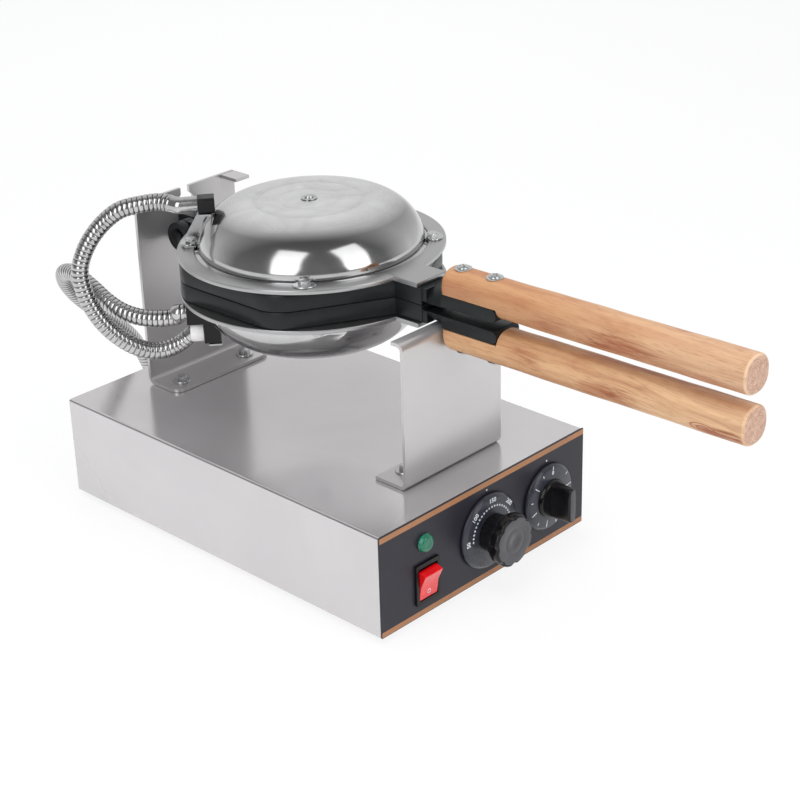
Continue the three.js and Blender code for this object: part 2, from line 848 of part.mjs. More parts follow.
// Conduit clamp: a foot under the left rear ring bolt, a plate that leans in along the dome, and a shelf on it.
// Its local X runs round the ring and its local Y outwards.
function clampStrap(domeTop, top, side) {
  const low = ringTop + gap;
  const foot = block(-strapFootReach, strapRiser + strapThick, -strapHalf, strapHalf, low, low + strapThick);
  const beside = [0, 1, 2].map((i) => [
    domeWall * domeRadiusShares[i] + strapClear - ringBoltRadius, domeTop * domeHeightShares[i],
  ]);
  const inner = beside[beside.length - 1][0];
  const riser = prismX(outline([
    [strapHalf, low],
    [-strapHalf, low],
    ...beside,
    [inner, top],
    [inner + strapShelfDeep, top],
    [strapHalf, low + strapRise],
  ]), strapRiser, strapRiser + strapThick);
  const shelf = block(
    -strapShelfBack, strapRiser + strapThick, inner, inner + strapShelfDeep, top - strapThick, top,
  );
  const hole = rod(ringShank + gap, low - overrun, low + strapThick + overrun);
  const strap = join([foot, riser, shelf]).subtract(hole);
  const [x, y] = ringBoltPlaces[side > 0 ? 1 : 0];
  return (side > 0 ? strap.rotate([0, 0, ringBoltTurnDeg]) : strap.mirror([1, 0, 0]).rotate([0, 0, ringBoltTurnDeg - 90]))
    .translate([x, y, 0]);
}

// The upper block only meets its conduit's end
function upperClampBlock() {
  const shape = roundedOutline(-upperBlockWide / 2, upperBlockWide / 2, 0, upperBlockTall, bezelCorner);
  return prismX(shape, -blockLong / 2, blockLong / 2, bendSteps);
}

// The lower block steps in below the dome and holds two conduits, one under the other.
// Its local X runs outwards from the middle of the iron.
function lowerClampBlock() {
  const body = prismY(outline([
    [feedBlockIn, lowerBlockTop],
    [feedBlockOut, lowerBlockTop],
    [feedBlockOut, lowerBlockStep],
    [jumperBlockOut, lowerBlockStep],
    [jumperBlockOut, lowerBlockEnd],
    [jumperBlockIn, lowerBlockEnd],
    [jumperBlockIn, jumperSeatHeight],
    [feedBlockIn, feedSeatHeight],
  ]), -lowerBlockWide / 2, lowerBlockWide / 2);
  const seat = rod(hoseSeat, -hoseSeatDepth, overrun).rotate([0, 90, 0]);
  return cut(body, [
    seat.translate([feedBlockOut, 0, feedSeatHeight]),
    seat.translate([jumperBlockOut, 0, jumperSeatHeight]),
  ]);
}

// A ribbed hose along a route: ribs outside, a plain bore, straight ends
function ribbedHose(route, startRun, endRun) {
  const points = route.map((p) => new THREE.Vector3(...p));
  const first = points[0].clone().addScaledVector(new THREE.Vector3(...startRun).normalize(), hoseStraight);
  const final = points[points.length - 1].clone()
    .addScaledVector(new THREE.Vector3(...endRun).normalize(), hoseStraight);
  const middle = new THREE.CatmullRomCurve3([first, ...points.slice(1, -1), final], false, 'centripetal');
  const curve = new THREE.CurvePath();
  curve.add(new THREE.LineCurve3(points[0], first));
  curve.add(middle);
  curve.add(new THREE.LineCurve3(final, points[points.length - 1]));
  const length = curve.getLength();
  const ribs = Math.round(length / hoseRibPitch / ribsPerBoreRing) * ribsPerBoreRing;
  const steps = ribs * 2;
  const spots = curve.getSpacedPoints(steps);
  const runs = spots.map((p, i) => spots[Math.min(i + 1, steps)].clone().sub(spots[Math.max(i - 1, 0)]).normalize());
  const side = new THREE.Vector3(0, 0, 1).cross(runs[0]).normalize();
  const sides = runs.map((run) => {
    side.addScaledVector(run, -side.dot(run)).normalize();
    return side.clone();
  });
  const places = [];
  const ring = (centre, i, radius) => {
    const up = runs[i].clone().cross(sides[i]);
    for (let k = 0; k < hoseSides; k += 1) {
      const angle = (k * 2 * Math.PI) / hoseSides;
      const p = centre.clone().addScaledVector(sides[i], radius * Math.cos(angle));
      p.addScaledVector(up, radius * Math.sin(angle));
      places.push(p.x, p.y, p.z);
    }
    return places.length / 3 - hoseSides;
  };
  const outside = spots.map((p, i) => ring(p, i, i % 2 === 0 || i === steps ? hoseValley : hoseRib));
  const inside = [];
  const stride = 2 * ribsPerBoreRing;
  for (let i = 0; i <= steps; i += stride) {
    const centre = spots[i].clone();
    if (i > 0 && i < steps) {
      const chord = spots[i - stride].clone().add(spots[i + stride]).multiplyScalar(0.5);
      centre.addScaledVector(spots[i].clone().sub(chord), 1 / 8);
    }
    inside.push(ring(centre, i, hoseBore));
  }
  const loop = [...outside, ...inside.reverse()];
  const corners = [];
  loop.forEach((a, i) => {
    const b = loop[(i + 1) % loop.length];
    for (let k = 0; k < hoseSides; k += 1) {
      const n = (k + 1) % hoseSides;
      corners.push(a + k, a + n, b + n, a + k, b + n, b + k);
    }
  });
  const geometry = new THREE.BufferGeometry();
  geometry.setAttribute('position', new THREE.Float32BufferAttribute(places, 3));
  geometry.setIndex(corners);
  return solid(geometry);
}

// Yoke: a block on the hinge pin with the axle that turns in the rear bracket's slot
function pivotYoke() {
  const body = block(-yokeHalf, yokeHalf, yokeFront, yokeBack, -yokeTall / 2, yokeTall / 2);
  const axle = towardsRear(rod(axleRadius, yokeBack - overrun, axleEnd, midSides));
  const pinHole = rod(hingePin + gap, -yokeHalf - overrun, yokeHalf + overrun, midSides).rotate([0, 90, 0])
    .translate([0, hingeY, 0]);
  return body.add(axle).subtract(pinHole);
}

function hingePinPiece() {
  const end = lowerLugOut + gap;
  const pin = rod(hingePin, -end - pinCapThick / 2, end + pinCapThick / 2, midSides);
  const cap = rod(pinCapRadius, end, end + pinCapThick);
  return join([pin, cap, cap.translate([0, 0, -2 * end - pinCapThick])]).rotate([0, 90, 0]);
}

function axleNut() {
  const front = rearFace + nutGap;
  const washer = rod(axleWasherRadius, front, front + axleWasherThick, midSides);
  const nut = rod(axleNutRadius, front + axleWasherThick, front + axleWasherThick + axleNutThick, hexSides);
  const hole = rod(axleRadius + gap, front - overrun, axleEnd + overrun, midSides);
  return towardsRear(washer.add(nut).subtract(hole));
}

// Controls: built with the panel's face at y = 0 and the front towards -Y
function dial(radius) {
  return towardsFront(turned([
    [0, dialLift],
    [radius, dialLift],
    [radius, dialLift + dialThick - dialBevel],
    [radius - dialBevel, dialLift + dialThick],
    [0, dialLift + dialThick],
  ], wideSides).subtract(rod(spindle + gap, 0, dialLift + dialThick + overrun)));
}

function spindleRod(front) {
  return rod(spindle, -panelThick - spindleIn, front);
}

function thermostatKnobPiece() {
  const low = dialLift + dialThick + gap;
  const grip = turned([
    [0, low],
    [knobBase, low],
    [knobBase, knobWaist],
    [thermostatKnob, knobShoulder],
    [thermostatKnob, thermostatFace - knobEdge],
    [thermostatKnob - knobEdge, thermostatFace],
    [0, thermostatFace],
  ], midSides);
  const flute = rod(knobFlute, knobWaist, thermostatFace + overrun, hexSides);
  const flutes = Array.from({ length: knobFluteCount }, (_, k) => flute
    .translate([thermostatKnob + knobFluteOut, 0, 0]).rotate([0, 0, (k * 360) / knobFluteCount]));
  return towardsFront(cut(grip, flutes).add(spindleRod(low + knobEdge)));
}

function timerKnobPiece() {
  const low = dialLift + dialThick + gap;
  const disc = turned([
    [0, low],
    [timerKnob, low],
    [timerKnob - knobTaper, timerKnobStep + low],
    [0, timerKnobStep + low],
  ], midSides);
  const bar = prismZ(outline([
    [timerBarHalf, -timerBarReach],
    [timerBarHalf - knobTaper, 0],
    [timerBarHalf, timerBarReach],
    [timerBarWaist, timerBarReach + knobEdge],
    [-timerBarWaist, timerBarReach + knobEdge],
    [-timerBarHalf, timerBarReach],
    [knobTaper - timerBarHalf, 0],
    [-timerBarHalf, -timerBarReach],
    [-timerBarWaist, -timerBarReach - knobEdge],
    [timerBarWaist, -timerBarReach - knobEdge],
  ]), low, timerFace);
  const roof = prismX(outline([
    [-timerKnob - overrun, low - overrun],
    [timerKnob + overrun, low - overrun],
    [timerKnob + overrun, timerFace - knobEdge * 2],
    [timerKnob - knobEdge, timerFace],
    [knobEdge - timerKnob, timerFace],
    [-timerKnob - overrun, timerFace - knobEdge * 2],
  ]), -timerKnob, timerKnob);
  return towardsFront(join([disc, bar.intersect(roof), spindleRod(low + knobEdge)]));
}

// The body of a dial's control behind the panel, with a bushing up to the panel's face
function controlBody(half, long) {
  const back = -panelThick - gap;
  const body = block(-half, half, -half, half, back - long, back).add(rod(bushing, back - overrun, 0));
  return towardsFront(body.subtract(rod(spindle + gap, -panelThick - spindleIn - gap, overrun)));
}

function lampBodyPiece() {
  const back = -panelThick - gap;
  const body = rod(lampBody, back - lampBodyLong, back, midSides);
  return towardsFront(body.subtract(rod(lampStem + gap, back - lampStemIn, back + overrun)));
}

function lampLensPiece() {
  const lens = turned([
    [0, gap],
    [lampLens, gap],
    [lampLens, lampLensOut * 0.4],
    [lampLens * 0.8, lampLensOut * 0.78],
    [lampLens * 0.45, lampLensOut * 0.96],
    [0, lampLensOut],
  ], midSides);
  return towardsFront(lens.add(rod(lampStem, gap - panelThick - lampStemIn, gap + lampLensOut / 2)));
}

// The switch: bezel in front of the panel, housing behind it, with dimples for the rocker's stubs
function switchBodyPiece() {
  const bodyX = switchOpenWidth / 2 + switchWall;
  const bodyZ = switchOpenTall / 2 + switchWall;
  const bezel = prismY(
    roundedOutline(-bezelWidth / 2, bezelWidth / 2, -bezelTall / 2, bezelTall / 2, bezelCorner),
    -bezelOut - gap, -gap, bendSteps,
  );
  const housing = block(-bodyX, bodyX, -gap - bezelOut / 2, switchDeep, -bodyZ, bodyZ);
  const pocket = block(
    -switchOpenWidth / 2, switchOpenWidth / 2, -bezelOut - overrun, switchPocket,
    -switchOpenTall / 2, switchOpenTall / 2,
  );
  const dimple = rod(rockerStub + gap, -rockerWidth / 2 - rockerStubOut - gap, rockerWidth / 2 + rockerStubOut + gap)
    .rotate([0, 90, 0]).translate([0, rockerPivotIn, 0]);
  return cut(bezel.add(housing), [pocket, dimple]);
}

// The rocker about its pivot, tilted with its top out
function rockerPiece() {
  const shape = outline([
    [-rockerCrown, rockerHalf],
    [-rockerCrease, 0],
    [-rockerCrown, -rockerHalf],
    [0, -rockerHalf],
    [rockerBack, -rockerBelly / 2],
    [rockerBack, rockerBelly / 2],
    [0, rockerHalf],
  ]);
  const body = prismX(shape, -rockerWidth / 2, rockerWidth / 2);
  const end = rockerWidth / 2 + rockerStubOut;
  return body.add(rod(rockerStub, -end, end).rotate([0, 90, 0])).rotate([rockerTiltDeg, 0, 0]);
}

function terminalBlock() {
  const low = sheet + gap;
  const body = block(
    -terminalLength / 2, terminalLength / 2, terminalY - terminalWidth / 2, terminalY + terminalWidth / 2,
    low, low + terminalTall,
  );
  const wells = [];
  for (let i = 0; i < terminalCount; i += 1) {
    const x = ((i + 0.5) / terminalCount - 0.5) * terminalLength;
    const well = rod(terminalWell, low + terminalTall - terminalWellDeep, low + terminalTall + overrun);
    wells.push(well.translate([x, terminalY, 0]));
  }
  return cut(body, wells);
}

// A gland through the rear panel, with a hexagon flange outside and a nut inside
function gland(thread, bore, boreDepth) {
  const out = halfDepth + gap;
  const nutFront = halfDepth - sheet - gap;
  const flange = rod(glandFlange, out, out + glandFlangeThick, hexSides);
  const nose = rod(glandNoseRadius, out, out + glandFlangeThick + glandNose, smallSides);
  const stem = rod(thread, nutFront - glandInside, out + glandFlangeThick, smallSides);
  const nut = rod(glandFlange, nutFront - glandNutThick, nutFront, hexSides);
  const hole = rod(bore, out + glandFlangeThick + glandNose - boreDepth, out + glandFlangeThick + glandNose + overrun);
  return towardsRear(join([flange, nose, stem, nut]).subtract(hole));
}

// Base and its fixed pieces
addPiece(model, 'base_shell', baseShell(), steelSheet);
addPiece(model, 'front_panel', frontPanel(), charcoal);
addPiece(model, 'rear_panel', rearPanel(), steelSheet);
addPiece(model, 'bottom_plate', bottomPlate(), steelSheet);
footPlaces.forEach(([x, y], i) => addPiece(model, `foot_${i + 1}`, foot(), rubber, [x, y, 0]));
addPiece(model, 'front_support', frontSupport(), steelSheet);
addPiece(model, 'rear_bracket', rearBracket(), steelSheet);
bracketBolts.forEach(([x, y], i) => {
  const name = i < 2 ? `front_support_bolt_${i + 1}` : `rear_bracket_bolt_${i - 1}`;
  addPiece(model, name, bracketBolt(), zincPlate, [x, y, flangeTop]);
});
addPiece(model, 'terminal_block', terminalBlock(), whitePlastic);
const glandLength = glandFlangeThick + glandNose;
const mainsGland = gland(mainsThread, mainsBore, glandLength + glandInside + overrun * 3);
const conduitGland = gland(conduitThread, hoseSeat, hoseSeatDepth);
addPiece(model, 'mains_gland', mainsGland, blackPlastic, [mainsX, 0, mainsZ]);
addPiece(model, 'conduit_gland', conduitGland, zincPlate, [glandX, 0, glandZ]);

// Controls
addPiece(model, 'indicator_body', lampBodyPiece(), whitePlastic, [lampX, -halfDepth, lampZ]);
addPiece(model, 'indicator_lens', lampLensPiece(), greenLens, [lampX, -halfDepth, lampZ]);
addPiece(model, 'switch_body', switchBodyPiece(), blackPlastic, [switchX, -halfDepth, switchZ]);
addPiece(model, 'rocker', rockerPiece(), redPlastic, [switchX, rockerPivotIn - halfDepth, switchZ]);
addPiece(
  model, 'thermostat_body', controlBody(thermostatBodyHalf, thermostatBodyLong), zincPlate,
  [thermostatX, -halfDepth, dialZ],
);
addPiece(model, 'timer_body', controlBody(timerBodyHalf, timerBodyLong), zincPlate, [timerX, -halfDepth, dialZ]);
addPiece(model, 'thermostat_dial', dial(thermostatDial), greyPlastic, [thermostatX, -halfDepth, dialZ]);
addPiece(model, 'thermostat_knob', thermostatKnobPiece(), blackPlastic, [thermostatX, -halfDepth, dialZ]);
addPiece(model, 'timer_dial', dial(timerDial), greyPlastic, [timerX, -halfDepth, dialZ]);
addPiece(model, 'timer_knob', timerKnobPiece(), blackPlastic, [timerX, -halfDepth, dialZ]);

// Iron: it tilts about the lip of the front support
const iron = new THREE.Group();
iron.position.set(0, restY, partingZ);
iron.rotation.x = -ironTiltDeg * rad;
iron.updateMatrix();
model.add(iron);

// A place on the iron, with its height counted from the parting plane
function onIron(x, y, z) {
  return new THREE.Vector3(x, y - restY, z).applyMatrix4(iron.matrix);
}

// The lower half is the same set of pieces turned over
function addHalf(half, lugInner, lugOuter, domeTop, strapTop) {
  const upper = half === 'upper';
  const strapSide = upper ? 1 : -1;
  const group = new THREE.Group();
  group.position.y = -restY;
  if (!upper) group.rotation.y = Math.PI;
  iron.add(group);
  addPiece(group, `${half}_pan`, pan(lugInner, lugOuter), castIron);
  addPiece(group, `${half}_ring`, clampRing(), steelPress);
  addPiece(group, `${half}_dome`, domeCover(domeTop), steelPress);
  addPiece(group, `${half}_dome_screw`, domeScrew(domeTop), zincPlate);
  addPiece(group, `${half}_element`, heatingElement(), zincPlate);
  addPiece(group, `${half}_handle`, handle(), wood);
  [handleScrewNear, handleScrewFar].forEach((y, i) => {
    addPiece(group, `${half}_handle_screw_${i + 1}`, handleScrew(), zincPlate, [0, -y, 0]);
  });
  ringBoltPlaces.forEach(([x, y], i) => {
    const lift = y > 0 && x * strapSide < 0 ? strapThick + gap : 0;
    addPiece(group, `${half}_ring_bolt_${i + 1}`, ringBolt(lift), zincPlate, [x, y, 0]);
  });
  addPiece(group, `${half}_clamp_strap`, clampStrap(domeTop, strapTop, strapSide), zincPlate);
  const block = upper ? upperClampBlock() : lowerClampBlock();
  const place = upper ? [upperClampX, upperClampY, strapTop + gap] : [0, 0, 0];
  addPiece(group, `${half}_clamp_block`, block, blackPlastic, place, (upper ? clampTurnDeg : ringBoltTurnDeg) * rad);
}

addHalf('lower', lowerLugIn, lowerLugOut, lowerDomeTop, lowerStrapTop);
addHalf('upper', upperLugIn, upperLugOut, upperDomeTop, upperStrapTop);
addPiece(iron, 'pivot_yoke', pivotYoke(), castIron, [0, -restY, 0]);
addPiece(iron, 'hinge_pin', hingePinPiece(), zincPlate, [0, hingeY - restY, 0]);
addPiece(iron, 'axle_nut', axleNut(), zincPlate, [0, -restY, 0]);

// Conduit routes, chosen by hand from the clamps round the left rear of the iron
const clampTurn = clampTurnDeg * rad;
const alongX = -Math.cos(clampTurn);
const alongY = -Math.sin(clampTurn);
const along = onIron(alongX, alongY, 0).sub(onIron(0, 0, 0));
const upperOut = blockLong / 2 + gap;
const upperSeat = onIron(
  upperClampX + alongX * upperOut, upperClampY + alongY * upperOut, upperStrapTop + gap + upperBlockTall / 2,
);
const outX = -Math.cos(ringBoltTurnDeg * rad);
const outY = Math.sin(ringBoltTurnDeg * rad);
const outwards = onIron(outX, outY, 0).sub(onIron(0, 0, 0));
const lowerSeat = (blockOut, height) => {
  const reach = blockOut - hoseSeatDepth + gap;
  return onIron(outX * reach, outY * reach, -height).toArray();
};
const jumperRoute = [
  upperSeat.toArray(),
  [-82.2, 93, 285.3], [-94.1, 104.5, 283.8], [-106.4, 116, 279.8], [-116.3, 126, 269.7],
  [-126.3, 131, 258.2], [-133.9, 134, 245.6], [-139, 135, 231.7], [-139.3, 133, 216.2],
  [-136.7, 128, 200.4], [-132.1, 120, 185.6], [-123.5, 110, 171.8], [-111.5, 99.5, 161.5],
  [-98.3, 89.5, 157.5], [-84.9, 80, 161.7],
  lowerSeat(jumperBlockOut, jumperSeatHeight),
];
const feedRoute = [
  lowerSeat(feedBlockOut, feedSeatHeight),
  [-83.1, 80.5, 186.8], [-94.2, 91, 185.3], [-105.1, 104, 186.6], [-112.7, 118, 190.8],
  [-116, 133, 197], [-116.4, 149, 203.9], [-116.1, 165, 208.9],
  [-112, 183, 209],
  [-109, 199, 204], [-100, 212, 190], [-84, 221, 170], [-62, 228, 148], [-38, 234, 126], [-14, 240, 102],
  [4, 246, 76], [14, 246, 54], [21, 236, 41],
  [glandX, halfDepth + gap + glandLength - hoseSeatDepth + gap, glandZ],
];
addPiece(model, 'jumper_conduit', ribbedHose(jumperRoute, along.toArray(), outwards.toArray()), zincPlate);
addPiece(model, 'feed_conduit', ribbedHose(feedRoute, outwards.toArray(), [0, 1, 0]), zincPlate);

export default model;
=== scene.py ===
"""Bubble waffle maker: the looks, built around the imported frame.

Shapes are written in millimetres in the machine's own axes, or in those of one half of the iron, whose
z counts from the parting plane. Every finished mesh is in metres and in the frame's place."""
import math

import bmesh
import bpy
from bpy.props import FloatProperty, FloatVectorProperty, IntProperty, PointerProperty
from mathutils import Matrix, Vector
from mathutils.bvhtree import BVHTree
from mathutils.geometry import delaunay_2d_cdt


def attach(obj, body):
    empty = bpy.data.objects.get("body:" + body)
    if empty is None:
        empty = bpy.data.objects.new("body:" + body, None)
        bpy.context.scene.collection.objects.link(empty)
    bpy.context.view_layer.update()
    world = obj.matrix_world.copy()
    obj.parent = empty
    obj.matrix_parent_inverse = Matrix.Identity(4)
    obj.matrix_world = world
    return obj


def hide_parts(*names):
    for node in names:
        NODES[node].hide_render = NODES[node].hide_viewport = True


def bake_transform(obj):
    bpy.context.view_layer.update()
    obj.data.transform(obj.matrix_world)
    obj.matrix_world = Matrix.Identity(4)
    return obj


bl_info = {
    "name": "Bubble Waffle Maker",
    "version": (1, 0, 0),
    "blender": (4, 5, 0),
    "location": "View3D > Sidebar > Waffle Maker",
    "description": "Builds a turning bubble waffle iron on its sheet steel base",
    "category": "Object",
}

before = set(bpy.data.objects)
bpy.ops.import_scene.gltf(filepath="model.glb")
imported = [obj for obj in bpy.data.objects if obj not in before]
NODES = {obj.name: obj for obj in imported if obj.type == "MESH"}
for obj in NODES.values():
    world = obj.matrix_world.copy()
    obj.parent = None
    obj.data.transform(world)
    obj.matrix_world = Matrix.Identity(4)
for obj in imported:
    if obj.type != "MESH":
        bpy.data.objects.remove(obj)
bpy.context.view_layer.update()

# Units, turns and small lengths, in millimetres
MM = 0.001
GAP = 0.3
WELD = 0.01
POLE = 1e-6
FULL_TURN = 2 * math.pi
QUARTER = math.pi / 2
SIXTH = math.pi / 3
TWELFTH = math.pi / 6

# Where the iron lies: on the front support's lip, its front a little higher than its rear
PARTING_Z = 232.7
REST_Y = -143
TILT = math.radians(1)

# Base and brackets
BASE_HALF_Y = 191
BRACKET_TOP = 93.3
BOLT_PLACES = ((-35, -134), (37, -134), (-38, 138), (38, 138))
FOOT_PLACES = ((-90, -153), (90, -153), (-90, 153), (90, 153))
FOLD_LINE = (88.7, 89.4)
STRIPES = ((84.6, 89.4), (0.6, 5.2))
GLANDS = (
    ("mains_gland", 85, 30, 5, "plastic", "black_plastic"),
    ("conduit_gland", 25, 36, 7.9, "zinc", "zinc_steel"),
)

# Iron
PAN_APOTHEM = 101.3
PAN_CORNER = 32.6
PAN_THICK = 15
PARTING_GAP = 0.15
RIM_WIDTH = 6.5
LAND_DEPTH = 2.8
CUP_RINGS = 3
RING_INNER = 97.5
RING_OUTER = 112
RING_LOW = 15.3
RING_TOP = 19
RING_BOLT_RADIUS = 100.5
RING_BOLT_TURN = math.radians(42.5)
TAB_HALF = 17
TAB_END = 135
STRAP_LIFT = 1.8
DOME_TOPS = {"upper": 56.6, "lower": 61}
DOME_WALL = 94.5
DOME_LIP = 97.2
DOME_SHEET = 1.1
HINGE_Y = 139.6
HINGE_EYE = 13
HINGE_PIN = 5.3
LUGS = {"upper": (11.2, 20), "lower": (20.6, 29)}

# Arms and handles
ARM_HALF = 14
ARM_LOW = 3.5
ARM_HIGH = 14.5
ARM_END = 213
HANDLE_HALF = 15
HANDLE_LOW = 4.5
HANDLE_HIGH = 34.5
HANDLE_START = 157
HANDLE_END = 438
HANDLE_SCREWS = (169, 201)
NEAR_ROUND = 4.0
FAR_ROUND = 2.4

# Wood: where the knot and the reddish stains lie, the stains' reach and strength, and colours
GRAIN_SHARE = 0.35
WOOD_KNOT = (-14, -404, 211)
END_MIDDLES = ((-4, -438, 260), (3, -438, 215))
WOOD_STAINS = (
    ((-14.6, -332, 254), 9, 1), ((-14.6, -314, 250), 8, 1), ((-14.6, -321, 214), 9, 1), ((-13, -426, 210), 7, 1),
    ((-13.5, -414, 209), 6, 1), ((4, -372, 268), 7, 0.8), ((-14, -262, 250), 7, 0.6), ((-14, -240, 218), 7, 0.6),
)
NEAR_TONE, FAR_TONE = (0.88, 0.8, 0.72), (1.1, 1.22, 1.42)
# Painted light on the lower handle: a lighter, more orange wood that makes up for the shade the upper handle casts on
# it.
LOWER_HANDLE_LIGHT = (0.86, 0.57, 0.31)
STAIN = (0.30, 0.075, 0.022)
KNOT_LINE = (0.34, 0.09, 0.035)
# Painted highlight: a pale cream band round the rounded rim of the handle's far end.
FAR_RIM_HIGHLIGHT = (0.84, 0.62, 0.42)
END_GRAIN = (0.47, 0.27, 0.18), (0.70, 0.47, 0.35), (0.34, 0.15, 0.09)

# Controls
PANEL_Y = -191
DIAL_FACE = 5.55
MARK = 0.08
LAMP = (-75, 65.6)
SWITCH_X = -73
SWITCH_MARK_Z = 21.5
THERMOSTAT = (0, 45)
TIMER = (76, 45)

# Conduits: routes of their middle lines, repeated from the part's source
JUMPER_ROUTE = (
    (-82.2, 93, 285.3), (-94.1, 104.5, 283.8), (-106.4, 116, 279.8), (-116.3, 126, 269.7),
    (-126.3, 131, 258.2), (-133.9, 134, 245.6), (-139, 135, 231.7), (-139.3, 133, 216.2),
    (-136.7, 128, 200.4), (-132.1, 120, 185.6), (-123.5, 110, 171.8), (-111.5, 99.5, 161.5),
    (-98.3, 89.5, 157.5), (-84.9, 80, 161.7),
)
FEED_ROUTE = (
    (-83.1, 80.5, 186.8), (-94.2, 91, 185.3), (-105.1, 104, 186.6), (-112.7, 118, 190.8),
    (-116, 133, 197), (-116.4, 149, 203.9), (-116.1, 165, 208.9), (-112, 183, 209), (-109, 199, 204),
    (-100, 212, 190), (-84, 221, 170), (-62, 228, 148), (-38, 234, 126), (-14, 240, 102),
    (4, 246, 76), (14, 246, 54), (21, 236, 41),
)
FEED_END = (25, 197.6, 36)
HOSE_STRAIGHT = 15
HOSE_SIDES = 24
RIB_STEPS = 9
JUMPER_PLAIN = 22
FEED_PLAIN = 9
CLAMP_TURN = math.radians(-40)
UPPER_CLAMP = (-58.9, 61.3)
UPPER_CLAMP_Z = 55.2
BLOCK_HALF = 7.3
JUMPER_SEAT = (87.3, 54.8)
FEED_SEAT = (100.8, 37.5)

# Studio
CAMERA_PLACE = (-1015.39, -1075.05, 806.21)
CAMERA_AZIMUTH = math.radians(-46.0635)
CAMERA_ELEVATION = math.radians(25.5314)
CAMERA_ROLL = math.radians(-1.5776)
CAMERA_LENS = 85.14
CAMERA_SENSOR = 36
BEHIND_CAMERA = (-0.72, -0.69, 0)
FLOOR_HALF = 8
FLOOR_Z = -6.6
LAMPS = (
    ("overhead_lamp", (-0.3, -0.2, 1.9), 1.5, 1.3, 15, False),
    ("left_window", (-1.82, -0.58, 1.34), 1.05, 2.4, 17, True),
    ("right_window", (0.08, -1.9, 1.34), 1.0, 2.3, 15, True),
    ("rear_lamp", (1.3, 1.5, 1.3), 1.2, 1.0, 8, False),
)


# ---------------------------------------------------------------- settings

def colour(name, text, value):
    return FloatVectorProperty(name=name, description=text, subtype="COLOR", size=3, min=0, max=1, default=value)


def length(name, text, value):
    return FloatProperty(name=name, description=text, default=value * MM, min=0, unit="LENGTH", subtype="DISTANCE")


class WaffleSizes(bpy.types.PropertyGroup):
    cup_pitch: length("Cup pitch", "Distance between the middles of two egg cups", 30)
    cup_radius: length("Cup radius", "Radius of an egg cup at its mouth", 13)
    cup_depth: length("Cup depth", "Depth of an egg cup below the flat land", 10.6)
    hose_rib: length("Conduit rib", "Radius of a conduit over its ribs", 7.4)
    hose_valley: length("Conduit valley", "Radius of a conduit between its ribs", 6.6)
    hose_pitch: length("Conduit pitch", "Length of one rib of a conduit", 4.2)
    edge: length("Sheet edge", "Rounding of the edges of sheet steel", 0.35)
    round_sides: IntProperty(name="Round sides", description="Sides of wide round pieces", default=144, min=32,
                             max=256)


class WaffleColours(bpy.types.PropertyGroup):
    steel: colour("Sheet steel", "Satin steel of the base and the brackets", (0.60, 0.585, 0.59))
    dome: colour("Dome steel", "Pressed steel of the domes and the rings", (0.60, 0.60, 0.605))
    zinc: colour("Zinc", "Screws, bolts and nuts", (0.62, 0.625, 0.63))
    conduit: colour("Conduit", "Strip-wound conduits", (0.58, 0.575, 0.58))
    casting: colour("Casting", "Blue-black coat of the castings", (0.008, 0.010, 0.011))
    wood_light: colour("Light wood", "Pale grain of the handles", (0.63, 0.365, 0.19))
    wood_dark: colour("Dark wood", "Reddish streaks of the handles", (0.40, 0.165, 0.075))
    panel: colour("Panel", "Charcoal paint of the front panel", (0.022, 0.021, 0.030))
    stripe: colour("Stripe", "Copper stripes of the front panel", (0.40, 0.185, 0.085))
    plastic: colour("Black plastic", "Knobs, blocks and glands", (0.005, 0.005, 0.006))
    dial: colour("Dial", "Discs of the dials", (0.030, 0.032, 0.043))
    ink: colour("Dial marks", "Numbers and marks on the dials", (0.74, 0.77, 0.88))
    red: colour("Rocker", "Rocker of the switch", (0.78, 0.004, 0.008))
    green: colour("Lamp", "Lens of the lamp", (0.004, 0.155, 0.085))
    rubber: colour("Rubber", "Feet", (0.018, 0.018, 0.019))


def sizes():
    return bpy.context.scene.waffle_sizes


# ---------------------------------------------------------------- node words

def shade(base, factor):
    return tuple(min(1.0, c * factor) for c in base)


class Words:
    """Words for building a node tree."""

    def __init__(self, tree):
        self.tree = tree

    def feed(self, socket, value):
        """Links a source to a socket, or writes a number, a place or a colour into it."""
        if isinstance(value, bpy.types.NodeSocket):
            self.tree.links.new(value, socket)
        else:
            socket.default_value = (*value, 1) if socket.type == "RGBA" else value

    def node(self, kind, inputs=None, **settings):
        """A new node with its settings made and its inputs fed. Gives its outputs."""
        made = self.tree.nodes.new(kind)
        for key, value in settings.items():
            setattr(made, key, value)
        for key, value in (inputs or {}).items():
            self.feed(made.inputs[key], value)
        return made.outputs

    def sum(self, operation, *values):
        return self.node("ShaderNodeMath", dict(enumerate(values)), operation=operation)[0]

    def plus(self, a, b):
        return self.sum("ADD", a, b)

    def times(self, a, b):
        return self.sum("MULTIPLY", a, b)

    def span(self, value, low, high, to_low=0, to_high=1):
        ends = {"From Min": low, "From Max": high, "To Min": to_low, "To Max": to_high, "Value": value}
        return self.node("ShaderNodeMapRange", ends)["Result"]

    def seen(self):
        """One for the camera's own rays and for those of sharp reflections, with all the kinds of rays."""
        rays = self.node("ShaderNodeLightPath")
        return self.sum("MAXIMUM", rays["Is Camera Ray"], rays["Is Glossy Ray"]), rays

    def surface(self, share, first, second, output):
        mix = self.node("ShaderNodeMixShader", {0: share, 1: first[0], 2: second[0]})
        self.node(output, {"Surface": mix[0]})


